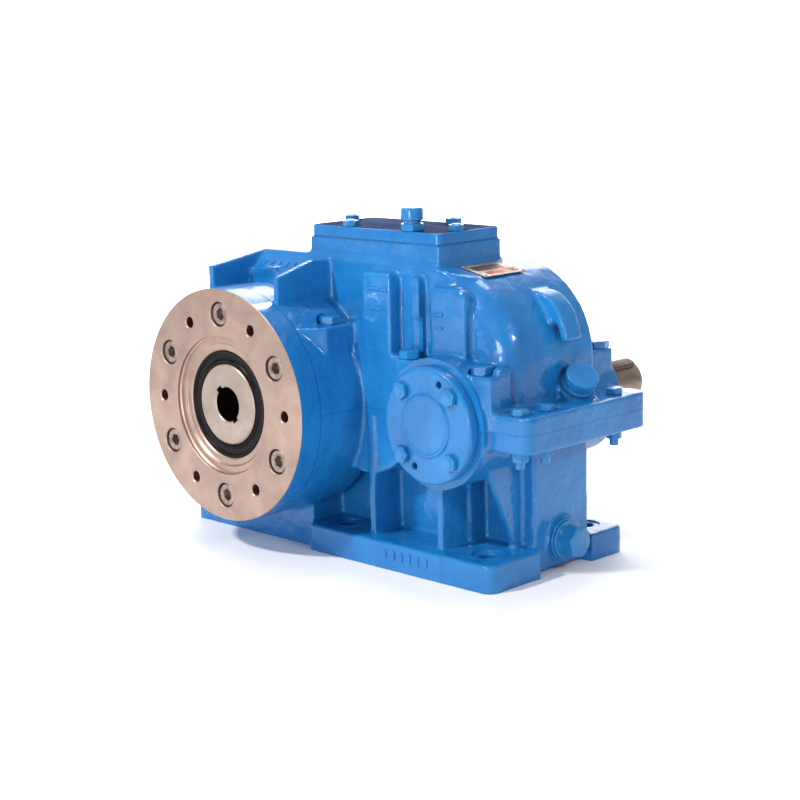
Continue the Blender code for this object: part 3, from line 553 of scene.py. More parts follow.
def upper_rough():
    """The upper half before machining: shoulder shell, snout, ledges, pads and webs."""
    left_roof = arc((OUTPUT_X, 0), 168, 180, 90, 32) + [(0, 0)]
    output_boss, middle_boss, *other_bosses = [boss(*row, 1) for row in BOSSES]
    return [
        split_flange(-6, SPLIT_FLANGE_THICKNESS[1]),
        upper_body(),
        output_boss,
        cut(middle_boss, box((60, 250), (100, 160), (77, 100))),
        *other_bosses,
        box((136, 377), (108, 130), (-3, 72)),
        box((303, 377.5), (92, 129), (-4, 64)),
        box((219, 251), (91, 129.5), (-2, 72)),
        prism(BOLT_BLOCK, -6, 105, "z"),
        prism(left_roof, 98, 133, "y"),
        prism([(98.5, 20), (98.5, 158), (130, 186), (134, 186), (134, 20)],
              -54, 70, "x"),
        prism([(34.5, 110), (34.5, 172), (131, 186.5), (131.5, 110)], -58, -49, "x"),
        prism([(34.5, 100), (34.5, 166), (96, 182), (131, 178.5), (131, 100)],
              67, 75, "x"),
        box((34, 261), (131, 246), (150, 211)),
        prism(rounded_rectangle((150, 200), (70, 172), 9), 106.5, 128, "y"),
        prism([(130, 72), (160, 72), (160, 135), (152, 128), (136, 108),
               (130, 104)], 109, 128, "y"),
        prism(rounded_rectangle((228, 242), (66, 170), 4), 114, 128.5, "y"),
        prism(rounded_rectangle((260, 318), (60, 160), 12), 113, 128, "y"),
        lifting_hook(),
        cylinder(24, -34, 4, FILLER_PLACE, FILLER_DIRECTION, segments=64),
        box((224, 361), (270, 343), (-6, 66)),
    ]


def machined_faces(side):
    """Cutters for the split, the flange and cap seats, the rear face and the bores."""
    other_half = (-GAP / 2, 400) if side < 0 else (-400, GAP / 2)
    faces = [
        box((-400, 700), (-60, 700), other_half),
        cylinder(FLANGE_RADIUS + 40, 0, FLANGE_THICKNESS + GAP, (OUTPUT_X, 0, 0),
                 segments=64, start=0.013),
        cylinder(CAP_RADIUS + 11, 60, CAP_SEAT, (INPUT_X, 0, 0), segments=128, start=0.01),
        box((-300, 500), (REAR_FACE, 420), (-300, 400)),
    ]
    return faces + [cylinder(radius, low, high, (x, 0, 0), segments=segments, start=start)
                    for radius, low, high, x, segments, start in BORES]


def screw_holes():
    """Clearance behind the flange for its screws."""
    places = [polar(SCREW_CIRCLE, angle) for angle in SCREW_ANGLES]
    return [cylinder(10.7, 30, 64, (x, 0, z), segments=32, start=0.02) for x, z in places]


def mark(centre, length, width, facing, turn):
    """A plain raised bar in place of foundry characters; it says nothing."""
    outline = rounded_rectangle((-width / 2, width / 2), (-length / 2, length / 2), width * 0.45, 4)
    bar = bevelled_plate(outline, -2.5, 1.5, 0.9, 3)
    stand = Vector((0, 0, 1)).rotation_difference(Vector(facing).normalized()).to_matrix().to_4x4()
    place = Matrix.Translation(centre) @ stand @ Matrix.Rotation(math.radians(turn), 4, "Z")
    bar.data.transform(place)
    return bar


def foot_marks():
    return [mark((206 + MARK_PITCH * i, 82.9, -176), 12, 4.2, FORWARD, 0) for i in range(6)]


def pad_marks():
    """Bars on the two front pads and on the slanted face between the webs."""
    first_pad = ((165, 152, 12), (177, 152, 12), (189, 152, 12), (168, 128, 13), (181, 128, 13))
    second_pad = ((276, 128, 14), (276, 112, 14))
    slanted = (0, -0.664, 0.747)
    marks = [mark((x, 106.4, z), length, 4.4, FORWARD, 90) for x, z, length in first_pad]
    marks += [mark((x, 112.9, z), length, 4.4, FORWARD, 90) for x, z, length in second_pad]
    return marks + [mark((-34 + MARK_PITCH * i, 112, 170), 11, 4.2, slanted, 0)
                    for i in range(5)]


def machine_lower(casting):
    """Mill the feet and the inside of the lower half, and drill its holes."""
    foot = LOWER_LOW.z
    cutters = machined_faces(-1) + [
        box((-300, 500), (0, 500), (foot - 40, foot)),
        box((-158, 276), (164, 271), (-172, 20)),
        box((270, 355), (192, 270.9), (-170, 21)),
        box((-250, 450), (175, 275), (foot - 5, foot + 5.5)),
        cylinder(29.5, 0, 12, DRAIN_PLACE, RIGHT, segments=64, start=0.02),
        cylinder(13.7, -30, 5, DRAIN_PLACE, RIGHT, segments=48, start=0.03),
    ]
    foot_hole = [(0, -30), (11, -30), (11, 31), (12.5, 32.6), (19.5, 32.6), (19.5, 60), (0, 60)]
    cutters += [turned(foot_hole, (x, y, foot), UP, segments=64, start=0.02) for x, y in FOOT_HOLES]
    nut_seat = [(0, -60), (16, -60), (16, 1), (6.8, 1), (6.8, 60), (0, 60)]
    height = SPLIT_FLANGE_THICKNESS[0] - 0.6
    cutters += [turned(nut_seat, (x, y, height), UP, segments=48, start=0.02) for x, y in SPLIT_BOLT_PLACES]
    return cut(casting, *cutters, *screw_holes())


def machine_upper(casting):
    """Mill the cover's pad and the inside of the upper half, and drill its holes."""
    hollow = [(-158, -20)] + arc((OUTPUT_X, 0), 158, 180, 112, 16)[1:]
    hollow += [(34, 172), (250, 168)]
    hollow += arc(SHOULDER_CENTRE, SHOULDER_RADIUS - 14, 62, 0, 24) + [(364, -20)]
    filler_hole = [(0, -70), (13.3, -70), (13.3, 4), (26, 4), (26, 50), (0, 50)]
    cutters = machined_faces(1) + [
        box((0, 300), (120, 260), (UPPER_PAD_TOP, 260)),
        box(*COVER_OPENING, (160, 240)),
        prism(hollow, 164, 271, "y"),
        turned(filler_hole, FILLER_PLACE, FILLER_DIRECTION, segments=64, start=0.1),
    ]
    for x, y, seat in BEARING_BOLT_PLACES:
        spot = [(0, -60 - seat), (8.8, -60 - seat), (8.8, 0), (17, 0), (17, 50), (0, 50)]
        cutters.append(turned(spot, (x, y, seat), UP, segments=64, start=0.02))
    bolt_seat = [(0, -60), (6.8, -60), (6.8, -0.6), (16, -0.6), (16, 14), (0, 14)]
    height = SPLIT_FLANGE_THICKNESS[1] + 0.5
    cutters += [turned(bolt_seat, (x, y, height), UP, segments=48, start=0.02) for x, y in SPLIT_BOLT_PLACES]
    cutters += [cylinder(6.7, -18, 6, (x, y, UPPER_PAD_TOP), UP, segments=24, start=0.02)
                for x, y in COVER_BOLT_PLACES]
    cutters += screw_holes()
    for angle in CAP_BOLT_ANGLES:
        x, z = polar(CAP_BOLT_CIRCLE, angle, INPUT_X)
        cutters.append(cylinder(6.6, 80, 112, (x, 0, z), segments=24, start=0.02))
    return cut(casting, *cutters)


def slim(casting):
    reduce = casting.modifiers.new("slim", "DECIMATE")
    reduce.ratio = KEPT_FACES
    return bake_modifiers(casting)


def castings():
    lower = machine_lower(join(cast_skin(lower_rough(), "lower"), *foot_marks()))
    upper = machine_upper(join(cast_skin(upper_rough(), "upper"), *pad_marks()))
    painted(slim(lower), "cast_lower_housing", ["lower_housing"], BLUE, 40)
    painted(slim(upper), "cast_upper_housing", ["upper_housing"], BLUE, 40)


# ---------------- places of the fasteners

def bolt_place(node):
    spot = (middle(node) - ORIGIN) / MM
    return spot.x, spot.y


COVER_BOLT_PLACES = [bolt_place(f"cover_bolt_{number}") for number in range(1, 5)]
BEARING_BOLT_PLACES = [(*bolt_place(f"bearing_bolt_{number}"), seat)
                       for number, seat in ((1, 105), (2, 72), (3, 64))]
SPLIT_BOLT_PLACES = [bolt_place(f"split_bolt_{number}") for number in range(1, 4)]


# ---------------- flange, seal and output shaft

def output_flange():
    """Turned flange: bare face with a stepped register, rim painted with the housing."""
    profile = [(90, 0), (149.2, 0), (150, 0.8), (150, FLANGE_THICKNESS - 0.8),
               (149.2, FLANGE_THICKNESS), (70, FLANGE_THICKNESS), (70, 10.4), (71.4, 9),
               (78, 9), (79.2, 8), (79.2, 7.2), (80.4, 6), (87.5, 6), (89.4, 4.2), (89.4, 0.6)]
    flange = turned(profile, (OUTPUT_X, 0, 0), segments=256)
    counterbore = [(0, -5), (21.8, -5), (16.6, 0.2), (16, 0.8), (16, 21.5), (10.9, 21.5),
                   (10.9, 40), (0, 40)]
    threaded = [(0, -5), (13.6, -5), (7.8, 0.8), (7, 1.6)]
    depth = 1.6
    while depth < 24:
        threaded += [(6.4, depth + THREAD_PITCH / 2), (7, depth + THREAD_PITCH)]
        depth += THREAD_PITCH
    threaded += [(0, depth + 4)]
    hole_places = [polar(SCREW_CIRCLE, angle) for angle in TAPPED_ANGLES]
    cutters = [turned(counterbore, (x, 0, z), segments=72, start=0.1)
               for x, z in (polar(SCREW_CIRCLE, angle) for angle in SCREW_ANGLES)]
    cutters += [turned(threaded, (x, 0, z), segments=48, start=0.1) for x, z in hole_places]
    cut(flange, *cutters)
    # Faces inside the tapped holes get a near-black steel as painted shade in the holes; the rim gets the
    # housing's blue.
    looks = []
    for face in flange.data.polygons:
        spot = face.center
        in_hole = spot.y > 1.7 and any(math.hypot(spot.x - x, spot.z - z) < 7.6 for x, z in hole_places)
        on_rim = math.hypot(spot.x, spot.z) > 149.6 and spot.y > 1.6
        looks.append(1 if on_rim else 2 if in_hole else 0)
    finish_piece(flange, "turned_output_flange", FLANGE_STEEL, "housing", ["output_flange"],
                 28)
    more_looks(flange, looks, BLUE, BORE_SHADE_STEEL)


def more_looks(thing, indices, *extra):
    """Give some faces of a finished piece another material."""
    for look in extra:
        thing.data.materials.append(look)
    thing.data.polygons.foreach_set("material_index", indices)


def socket_screw(number, angle):
    """Socket-head cap screw, sunk in its counterbore."""
    x, z = polar(SCREW_CIRCLE, angle)
    place = (x, 0, z)
    body = [(0, 58), (9.7, 58), (9.7, 21.4), (14.2, 21.4), (14.8, 20.6), (14.8, 4.2), (13.4, 2.8), (0, 2.8)]
    socket = [(0, -5), (8.9, -5), (8.9, 3), (8.1, 3.8), (8.1, 13), (0, 14.5)]
    rim = [(0, -5), (15, -5), (8.2, 3.6), (0, 3.6)]
    screw = turned(body, place)
    cut(screw, turned(socket, place, segments=6, start=0.4 * number),
        turned(rim, place, segments=48, start=0.05))
    finish_piece(screw, f"socket_screw_{number}", SCREW_STEEL, "housing", [f"flange_screw_{number}"],
                 30)


def output_seal():
    """Rubber shaft seal with a pressed outer rim, a soft valley and a lip on the shaft."""
    profile = softened([(52.6, 12.6), (54.4, 11.2), (56.5, 10.7), (58, 12.6), (65, 12.8), (66.4, 10.6),
                        (69.3, 10.5), (69.4, 24), (60, 24), (52.9, 18)], 1)
    seal = turned(profile, (OUTPUT_X, 0, 0), segments=192)
    finish_piece(seal, "lip_seal", RUBBER, "housing", ["output_seal"])


def output_shaft():
    """Hollow shaft with two keyways in its bore and the journals for its bearings."""
    back = local_box("hollow_output_shaft")[1].y
    bore = 22.2
    profile = [(bore, 10.2), (23.4, 9), (50.6, 9), (52.2, 10.6), (52.2, 44), (55, 44),
               (55, 140), (66, 140), (66, 164), (60, 164), (60, 226), (42, 226),
               (42, back - 1), (41, back), (23.2, back), (bore, back - 1)]
    shaft = turned(profile, (OUTPUT_X, 0, 0), segments=160)
    slots = [key_block(10, bore, 4, 4, (0, 400), angle) for angle in (128, 308)]
    cut(shaft, *slots, key_block(18, 60, 7, 5, (170, 222), 90))
    # Faces inside the bore get the near-black steel: painted shade inside the hollow shaft.
    looks = [1 if math.hypot(face.center.x, face.center.z) < 26.5 and 10.4 < face.center.y < back - 2
             else 0 for face in shaft.data.polygons]
    finish_piece(shaft, "bored_output_shaft", HUB_STEEL, "output_rotor", ["hollow_output_shaft"],
                 30)
    more_looks(shaft, looks, BORE_SHADE_STEEL)


def on_shaft(block, x, angle):
    """Turn a block drawn above an axis to its angle round the shaft at this X."""
    turn = Matrix.Rotation(math.radians(90 - angle), 4, "Y")
    block.data.transform(Matrix.Translation((x, 0, 0)) @ turn)
    return block


def key_block(width, radius, below, above, y, angle):
    """A straight slot cutter lying on the output shaft's surface or in its bore."""
    return on_shaft(box((-width / 2, width / 2), y, (radius - below, radius + above)), OUTPUT_X, angle)


def rounded_key(width, radius, below, above, low, high, bevel):
    """The input shaft's parallel key with round ends, or the milled slot for it."""
    outline = rounded_rectangle((-width / 2, width / 2), (low, high), width / 2 - 0.01, 10)
    bm = prism_mesh(outline, radius - below, radius + above, "z")
    bmesh.ops.remove_doubles(bm, verts=bm.verts, dist=0.02)
    if bevel:
        edges = [edge for edge in bm.edges if abs(edge.verts[0].co.z - edge.verts[1].co.z) < 0.01]
        bmesh.ops.bevel(bm, geom=edges, offset=bevel, segments=2, profile=0.5, affect="EDGES")
    return on_shaft(scratch(bm), INPUT_X, INPUT_KEY_ANGLE)


def pinion(teeth, module, face, centre_x, phase):
    """Spur pinion with involute flanks about an axis along Y."""
    pitch = module * teeth / 2
    base = pitch * math.cos(math.radians(20))
    root = pitch - 1.25 * module
    tip = pitch + module

    def roll(radius):
        tangent = math.sqrt(max(radius / base, 1) ** 2 - 1)
        return tangent - math.atan(tangent)

    half_tooth = math.pi / (2 * teeth) - 0.125 / pitch + roll(pitch)
    flank = [(root, half_tooth)]
    for i in range(8):
        radius = max(root, base) + (tip - max(root, base)) * i / 7
        flank.append((radius, half_tooth - roll(radius)))
    points = []
    for tooth in range(teeth):
        at = phase + math.tau * tooth / teeth
        points += [(radius, at - angle) for radius, angle in flank]
        points += [(radius, at + angle) for radius, angle in flank[::-1]]
    outline = [(centre_x + radius * math.cos(angle), radius * math.sin(angle)) for radius, angle in points]
    return prism(outline, *face, "y")


def input_shaft():
    """Input pinion shaft: the stub that leaves the back, with a milled keyway and a centre hole."""
    radius = INPUT_SHAFT_RADIUS
    journal = [(0, 95), (23, 95), (25, 97), (25, 128), (30, 128), (30, 266),
               (34, 266), (34, 288), (30, 288), (30, 330), (radius, 332)]
    stub = [(radius, SHAFT_END - 1.8), (radius - 1.8, SHAFT_END), (6.5, SHAFT_END), (3, SHAFT_END - 3.5),
            (3, SHAFT_END - 9), (0, SHAFT_END - 10)]
    shaft = turned(journal + stub, (INPUT_X, 0, 0), segments=128)
    join(shaft, pinion(18, 4, (232, 262), INPUT_X, math.pi))
    low, high = KEY_LOW.y, KEY_HIGH.y
    cut(shaft, rounded_key(16, radius, 6, 7, low - 0.4, high + 0.4, 0))
    finish_piece(shaft, "keyed_input_shaft", SHAFT_STEEL, "input_rotor", ["input_pinion_shaft"],
                 30)
    key = rounded_key(15.7, radius, 5.8, 4, low, high, 0.5)
    finish_piece(key, "round_end_key", KEY_STEEL, "input_rotor", ["input_shaft_key"], 30)


# ---------------- bolts, plugs and covers

def hex_head(across, height, centre, direction, turn):
    """A hexagonal head or nut with its corners chamfered by turning."""
    corner = across / math.sqrt(3)
    head = turned([(0, 0), (corner, 0), (corner, height), (0, height)], centre, direction, 6, turn)
    top = across / 2 * 0.96
    low_cone = [(corner + 3, -0.5), (across / 2 * 0.985, -0.5), (corner + 0.02, 1.6), (corner + 3, 1.6)]
    limit = [(0, -1), (corner + 1, -1), (corner + 1, height - (corner + 1 - top) * 0.5),
             (top, height), (top - 0.7, height + 0.15), (0, height + 0.15)]
    head = keep(head, turned(limit, centre, direction, 72, turn + 0.013))
    return cut(head, turned(low_cone, centre, direction, 72, turn + 0.017))


def painted_bolt(name, across, height, centre, direction, turn, node=None, proud=0, stud=1):
    """Hex bolt head on a collar and a short length of shank; proud is the radius of a stud through it."""
    seat = tuple(value + lift for value, lift in zip(centre, Vector(direction) * BOLT_LIFT))
    shank, rim = across * 0.3, across * 0.5
    collar = softened([(0, -6), (shank, -6), (shank, -0.2), (rim, -0.2), (rim, 0.5), (0, 0.5)], 0.3)
    bolt = hex_head(across, height, seat, direction, turn)
    bolt = join(bolt, turned(collar, seat, direction, 64, turn + 0.029))
    if proud:
        end = height + stud
        dome = softened([(0, height - 1), (proud, height - 1), (proud, end), (0, end)], 0.8)
        bolt = join(bolt, turned(dome, seat, direction, 40, turn + 0.02))
    painted(bolt, name, [node] if node else [], BLUE_BOLT)


def bearing_cap():
    """Round blind cap with a raised middle, a chamfered rim and two jacking holes."""
    front = CAP_FRONT
    profile = [(0, 89), (40, 89), (40, 91), (47, 91), (47, 84.8), (70.6, 84.8), (71.5, 83.9),
               (71.5, front + 2.4), (69.6, front + 0.3), (66, front), (40.2, front), (39, front - 0.8),
               (37.6, front - 3), (35.4, front - 3.2), (33.6, front - 2.2), (32.6, front - 1.9),
               (0, front - 1.9)]
    cap = turned(softened(profile, 0.7, 2), (INPUT_X, 0, 0), segments=192)
    spot = [(0, 50), (11.6, 50), (11.6, front + 0.8), (6.8, front + 0.8), (6.8, 95), (0, 95)]
    jack = [(0, 50), (5.4, 50), (5.4, front), (4.2, front + 1.2), (4.2, 82), (0, 84)]
    bolts = [polar(CAP_BOLT_CIRCLE, angle, INPUT_X) for angle in CAP_BOLT_ANGLES]
    jacks = [polar(CAP_BOLT_CIRCLE + 0.5, angle, INPUT_X) for angle in JACKING_ANGLES]
    cutters = [turned(spot, (x, 0, z), segments=48, start=0.02) for x, z in bolts]
    cutters += [turned(jack, (x, 0, z), segments=40, start=0.02) for x, z in jacks]
    cut(cap, *cutters)
    painted(cap, "input_blind_cap", ["input_bearing_cap"], BLUE, 26)
    for number, (x, z) in enumerate(bolts, start=1):
        painted_bolt(f"cap_hex_bolt_{number}", 19, 7, (x, front + 0.8, z), FORWARD, 0.35 * number,
                     f"cap_bolt_{number}", proud=6.4)
    shim = turned([(47.5, 84.85), (72.4, 84.85), (72.4, CAP_SEAT), (47.5, CAP_SEAT)], (INPUT_X, 0, 0))
    finish_piece(shim, "cap_shim", BLUE, "housing", [])


def bevelled_plate(outline, low, high, bevel, segments=3):
    """A flat plate whose top edges are rounded."""
    bm = prism_mesh(outline, low, high, "z")
    bmesh.ops.recalc_face_normals(bm, faces=bm.faces)
    top = [edge for edge in bm.edges if all(vert.co.z > high - 0.01 for vert in edge.verts)]
    bmesh.ops.bevel(bm, geom=top, offset=bevel, segments=segments, profile=0.5, affect="EDGES")
    return scratch(bm)


def inspection_cover():
    """Flat cover, dark on top and blue at its edge, on a sheet gasket that shows as a thin line."""
    x = (COVER_LOW.x, COVER_HIGH.x)
    y = (COVER_LOW.y, COVER_HIGH.y)
    low, high = COVER_LOW.z, COVER_HIGH.z
    cover = bevelled_plate(rounded_rectangle(x, y, 8, 10), low, high, 2.2, 4)
    spots = []
    for place in COVER_BOLT_PLACES:
        spots.append(cylinder(6.8, -20, 30, (*place, low), UP, segments=40, start=0.02))
        spots.append(cylinder(13.5, -0.5, 3, (*place, high), UP, segments=48, start=0.03))
    spots.append(cylinder(10.4, -20, 30, (*bolt_place("breather"), low), UP, segments=48, start=0.02))
    cut(cover, *spots)
    sheet = prism(rounded_rectangle((x[0] - 0.6, x[1] + 0.6), (y[0] - 0.6, y[1] + 0.6), 8.5, 10),
                  GASKET_LOW.z, GASKET_HIGH.z, "z")
    cut(sheet, box(*COVER_OPENING, (150, 260)))
    finish_piece(sheet, "paper_gasket", GASKET, "housing", ["inspection_gasket"])
    looks = [0 if face.center.z > high - 0.4 or face.normal.z > 0.9 else 1 for face in cover.data.polygons]
    finish_piece(cover, "cover_plate", COVER_PAINT, "housing", ["inspection_cover"], 35)
    more_looks(cover, looks, BLUE)
    for number, place in enumerate(COVER_BOLT_PLACES, start=1):
        painted_bolt(f"cover_hex_bolt_{number}", 18, 7.6, (*place, high - 0.5), UP, 0.3 + 0.5 * number,
                     f"cover_bolt_{number}", proud=5.8)


def breather():
    """Vent plug: hex base, waist and a domed cap with a lip."""
    place = (*bolt_place("breather"), COVER_HIGH.z + 0.2)
    profile = [(0, -9), (9.5, -9), (9.5, 0.5), (10.6, 0.5), (10.6, 12.4), (13.4, 13), (14, 14),
               (14, 25), (13.2, 27.4), (11, 28.6), (0, 29)]
    body = turned(softened(profile, 0.9), place, UP, 96, 0.01)
    base = hex_head(27, 9, place, UP, 0.3)
    painted(join(base, body), "vent_plug", ["breather"], BLUE_BOLT)


def filler_plug():
    """Round screw plug: a lower ring, a groove and a smooth head with a flat top."""
    profile = [(0, -16), (12.5, -16), (12.5, 4.3), (20.6, 4.3), (21, 9.4), (18.6, 10.6), (18.6, 12.4),
               (20.6, 13.4), (20.6, 24.6), (19, 26), (0, 26)]
    plug = turned(softened(profile, 0.8), FILLER_PLACE, FILLER_DIRECTION, 128)
    painted(plug, "filler_cap", ["filler_plug"], BLUE_BOLT)


def drain_plug():
    """Hex plug with a collar, on a washer."""
    ring = [(14, GAP), (26, GAP), (27, 1), (27, 2.2), (26, 2.9), (14, 2.9)]
    washer = turned(softened(ring, 0.4), DRAIN_PLACE, RIGHT)
    painted(washer, "drain_washer", ["drain_plug_washer"], BLUE_BOLT, 32)
    collar = softened([(0, -18), (13, -18), (13, 3.1), (24.6, 3.1), (25, 3.6), (25, 6.4), (24, 7),
                       (19.4, 7.2), (18.8, 8), (18.8, 10), (0, 10)], 0.5)
    body = turned(collar, DRAIN_PLACE, RIGHT, 96, 0.01)
    x, y, z = DRAIN_PLACE
    head = hex_head(36, 19.8, (x + 6.2, y, z), RIGHT, 0.26)
    painted(join(head, body), "drain_hex_plug", ["drain_plug"], BLUE_BOLT)


def split_bolts():
    """Bolts and nuts through the split flange, and the taller bolts beside the bearings."""
    top = SPLIT_FLANGE_THICKNESS[1] - 0.1
    bottom = SPLIT_FLANGE_THICKNESS[0] + 0.4
    for number, (x, y) in enumerate(SPLIT_BOLT_PLACES, start=1):
        painted_bolt(f"joint_bolt_{number}", 19, 8, (x, y, top), UP, 0.4 * number, f"split_bolt_{number}")
        painted_bolt(f"joint_nut_{number}", 19, 10.5, (x, y, bottom), DOWN, 0.2 * number,
                     f"split_nut_{number}", proud=5.6, stud=9)
    for number, (x, y, seat) in enumerate(BEARING_BOLT_PLACES, start=1):
        painted_bolt(f"bearing_hex_bolt_{number}", 24, 10, (x, y, seat), UP, 0.5 * number,
                     f"bearing_bolt_{number}")


def rear_block_bolts():
    """Bolts on the block behind the shoulder, beside the two rear bearings."""
    for number, x in enumerate((240, 347), start=1):
        painted_bolt(f"rear_block_bolt_{number}", 24, 10, (x, 331, 65.4), UP, 0.4 * number)


def rear_covers():
    """Covers at the back with their bolts: ring for the hollow shaft, blind cover, sealed cover."""
    face = REAR_FACE + GAP
    ring = [(46, 1), (46.6, 0), (83.4, 0), (84, 0.8), (84, 10.6), (82.4, 12), (47, 12), (46, 11)]
    blind = [(0, -6), (45, -6), (45, 0), (59.4, 0), (60, 0.8), (60, 9.6), (57.6, 12), (30, 12),
             (28, 10.4), (0, 10.4)]
    sealed = [(38.5, -7), (52, -7), (52, 0), (70.8, 0), (71.5, 0.8), (71.5, 10.6), (69.8, 12),
              (45.6, 12), (44, 15), (38.5, 15)]
    lip = [(27.9, 4), (28.3, 11.4), (30, 12.9), (31.6, 11), (35.4, 11.2), (36.4, 13), (38.2, 13),
           (38.2, 2), (28.2, 2)]
    for name, profile, x, node, circle, count in (
            ("ring", ring, OUTPUT_X, "output_rear_cover", 70, 6),
            ("blind", blind, INTERMEDIATE_X, "intermediate_rear_cover", 48, 4),
            ("sealed", sealed, INPUT_X, "input_rear_cover", 58, 4)):
        cover = turned(softened(behind(profile, face), 0.6, 2), (x, 0, 0), segments=160)
        painted(cover, f"rear_{name}_cover", [node], BLUE, 28)
        for number in range(count):
            bolt_x, bolt_z = polar(circle, 45 + 360 / count * number, x)
            painted_bolt(f"rear_{name}_bolt_{number + 1}", 16, 6.4, (bolt_x, face + 11.8, bolt_z), BACK,
                         0.3 * number)
    seal = turned(softened(behind(lip, face), 0.7), (INPUT_X, 0, 0), segments=128)
    finish_piece(seal, "input_lip_seal", RUBBER, "housing", ["input_seal"])


def behind(profile, face):
    """The profile moved back to a face."""
    return [(radius, face + height) for radius, height in profile]


def nameplate():
    """Blank rating plate on the sloping roof, with four drive pins."""
    low, high = local_box("nameplate")
    place = Matrix.Translation((low + high) / 2) @ Matrix.Rotation(-math.atan(ROOF_SLOPE), 4, "Y")
    plate = bevelled_plate(rounded_rectangle((-21, 21), (-37, 37), 2.5), -0.4, 0.4, 0.3, 2)
    plate.data.transform(place)
    finish_piece(plate, "blank_plate", PLATE_METAL, "housing", ["nameplate"])
    for name, x, y, look in (("dark_field", (-14, 2), (-31, 20), PLATE_DARK),
                             ("red_field", (6, 15), (-24, 12), PLATE_RED),
                             ("bright_field", (4, 15), (16, 31), PLATE_DARK)):
        panel = bevelled_plate(rounded_rectangle(x, y, 1, 6), 0.35, 0.6, 0.1, 1)
        panel.data.transform(place)
        finish_piece(panel, f"plate_{name}", look, "housing", [])
    dome = [(0, -1), (1.7, -1), (1.7, 0.8), (1.2, 1.5), (0.5, 1.8), (0, 1.9)]
    for number, (x, y) in enumerate(((-18.6, -34.6), (18.6, -34.6), (-18.6, 34.6), (18.6, 34.6)), start=1):
        pin = turned(dome, (x, y, 0), UP, 32)
        pin.data.transform(place)
        finish_piece(pin, f"plate_pin_{number}", PLATE_METAL, "housing", [])


# ---------------- materials in use

BLUE = enamel("gearbox_enamel", (0.012, 0.19, 0.49), (0.005, 0.12, 0.37))
BLUE_BOLT = enamel("fastener_enamel", (0.018, 0.215, 0.5), (0.007, 0.135, 0.38), 0.5)
COVER_PAINT = enamel("cover_enamel", (0.006, 0.036, 0.15), (0.002, 0.008, 0.035), 0.8, 0.7, 0, 0.03)
FLANGE_STEEL = machined("flange_steel", OUTPUT_X, (0.5, 0.365, 0.305), (0.37, 0.27, 0.23), 0.42)
HUB_STEEL = machined("hub_steel", OUTPUT_X, (0.48, 0.39, 0.34), (0.34, 0.28, 0.245), 0.38)
SHAFT_STEEL = machined("shaft_steel", INPUT_X, (0.47, 0.38, 0.31), (0.2, 0.145, 0.11), 0.34)
# Near-black steel for the insides of the flange's tapped holes and the shaft's bore: painted shade in them.
BORE_SHADE_STEEL = machined("painted_bore_shade", OUTPUT_X, (0.07, 0.035, 0.03), (0.02, 0.01, 0.012), 0.4)
SCREW_STEEL = steel("screw_steel_finish", (0.46, 0.37, 0.33), 0.42, 0.5)
KEY_STEEL = steel("key_steel_finish", (0.12, 0.06, 0.035), 0.35)
GEAR_STEEL = steel("gear_steel_finish", (0.45, 0.44, 0.42), 0.3)
RACE_STEEL = steel("race_steel_finish", (0.6, 0.6, 0.6), 0.18, 0.2)
PLATE_METAL = steel("plate_finish", (0.42, 0.35, 0.29), 0.5, 0.4)
PLATE_DARK = steel("plate_panel_finish", (0.12, 0.06, 0.055), 0.45, 0.5)
PLATE_RED = steel("plate_red_finish", (0.4, 0.05, 0.05), 0.45, 0.4)
RUBBER = rubber("seal_rubber_finish")
GASKET = gasket_sheet("gasket_finish")


def inner_parts():
    """CAD nodes that stay as they are get worked finishes."""
    for node in ("output_gear", "output_gear_key", "intermediate_pinion_shaft", "intermediate_gear",
                 "intermediate_gear_key"):
        repaint(node, GEAR_STEEL)
    for train in ("output", "intermediate", "input"):
        for end in ("front", "rear"):
            for ring in ("outer", "inner"):
                repaint(f"{train}_{end}_bearing_{ring}_ring", RACE_STEEL)


def repaint(node, look):
    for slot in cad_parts[node].material_slots:
        slot.material = look


# ---------------- studio

FLOOR_REACH = 30
SWEEP_START = 3
SWEEP_RADIUS = 1.6
SWEEP_TURN = 44.6
BACKDROP_HEIGHT = 5


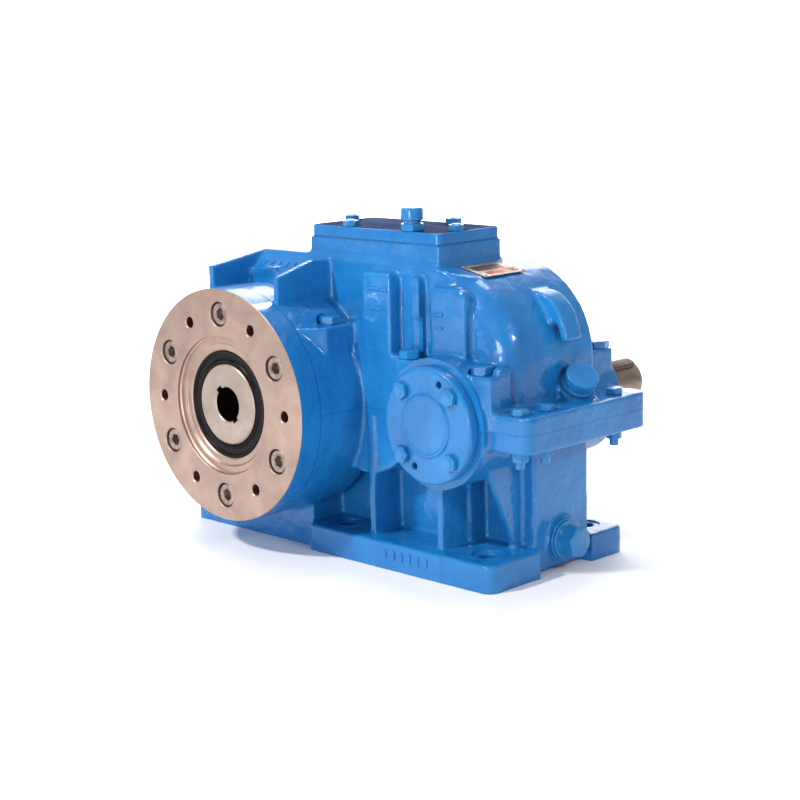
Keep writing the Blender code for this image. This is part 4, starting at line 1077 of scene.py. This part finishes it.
def studio():
    """Pale floor that curves up into a backdrop behind the part, soft lights and a grey-white world."""
    floor_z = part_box("lower_housing")[0].z
    bends = [math.radians(angle) for angle in range(10, 91, 10)]
    sweep = [(-FLOOR_REACH, 0), (SWEEP_START, 0)]
    sweep += [(SWEEP_START + SWEEP_RADIUS * math.sin(a), SWEEP_RADIUS - SWEEP_RADIUS * math.cos(a))
              for a in bends]
    sweep.append((SWEEP_START + SWEEP_RADIUS, BACKDROP_HEIGHT))
    bm = bmesh.new()
    rows = [[bm.verts.new((side, depth, height)) for depth, height in sweep]
            for side in (-FLOOR_REACH, FLOOR_REACH)]
    for k in range(len(sweep) - 1):
        bm.faces.new((rows[0][k], rows[1][k], rows[1][k + 1], rows[0][k + 1]))
    mesh = bpy.data.meshes.new("studio_floor")
    bm.to_mesh(mesh)
    bm.free()
    mesh.shade_smooth()
    floor = bpy.data.objects.new("studio_floor", mesh)
    floor.location = (0, 0, floor_z - 0.0005)
    floor.rotation_euler = (0, 0, math.radians(SWEEP_TURN))
    bpy.context.scene.collection.objects.link(floor)
    pale = Nodes("pale_floor")
    speckle = pale.ramp(pale.noise(3), [(0.3, (0.9, 0.9, 0.9)), (0.7, (0.94, 0.94, 0.94))])
    mesh.materials.append(pale.fill(Base_Color=speckle, Roughness=0.8))
    world = bpy.data.worlds.new("studio_world")
    world.use_nodes = True
    back = world.node_tree.nodes["Background"]
    back.inputs["Color"].default_value = (0.97, 0.98, 1, 1)
    back.inputs["Strength"].default_value = 0.5
    bpy.context.scene.world = world
    bpy.context.scene.view_settings.view_transform = "Standard"
    area_light("key_light", (-0.7, -2.6, 2.5), 0.25, 92, (1, 0.98, 0.96))
    area_light("side_light", (2.9, -0.4, 1.7), 0.35, 20, (0.96, 0.98, 1))
    area_light("top_light", (-0.2, 0.7, 3), 0.9, 26, (1, 1, 1))
    area_light("low_light", (0.9, -2.7, 0.35), 0.6, 22, (0.98, 0.99, 1))
    area_light("sweep_light", (-1.9, 2.2, 3.4), 2, 230, (1, 1, 1), (-3.4, 3.6, 0.4))


def area_light(name, place, size, power, colour, target=(0, -0.1, 0.2)):
    """A square lamp of this size in metres and power in watts that faces the target."""
    data = bpy.data.lights.new(name, "AREA")
    data.size = size
    data.energy = power
    data.color = colour
    light = bpy.data.objects.new(name, data)
    light.location = place
    light.rotation_euler = (Vector(target) - Vector(place)).to_track_quat("-Z", "Y").to_euler()
    bpy.context.scene.collection.objects.link(light)


def camera():
    """A long lens in front of the output flange and above it, turned towards the input end."""
    place = ORIGIN + Vector((1.7565, -1.4589, 0.4464))
    turn, tilt, roll = 0.7779, 0.1930, -0.02139
    forward = Vector((-math.sin(turn) * math.cos(tilt), math.cos(turn) * math.cos(tilt), -math.sin(tilt)))
    right = forward.cross(Vector(UP)).normalized()
    up = right.cross(forward)
    rolled_right = right * math.cos(roll) + up * math.sin(roll)
    rolled_up = up * math.cos(roll) - right * math.sin(roll)
    data = bpy.data.cameras.new("studio_camera")
    data.lens = 81.67
    data.sensor_width = 36
    view = bpy.data.objects.new("studio_camera", data)
    rotation = Matrix((rolled_right, rolled_up, -forward)).transposed()
    view.matrix_world = Matrix.Translation(place) @ rotation.to_4x4()
    bpy.context.scene.collection.objects.link(view)
    bpy.context.scene.camera = view


def build():
    castings()
    output_flange()
    for number, angle in enumerate(SCREW_ANGLES, start=1):
        socket_screw(number, angle)
    output_seal()
    output_shaft()
    input_shaft()
    bearing_cap()
    inspection_cover()
    breather()
    filler_plug()
    drain_plug()
    split_bolts()
    rear_block_bolts()
    rear_covers()
    nameplate()
    inner_parts()
    studio()
    camera()


build()
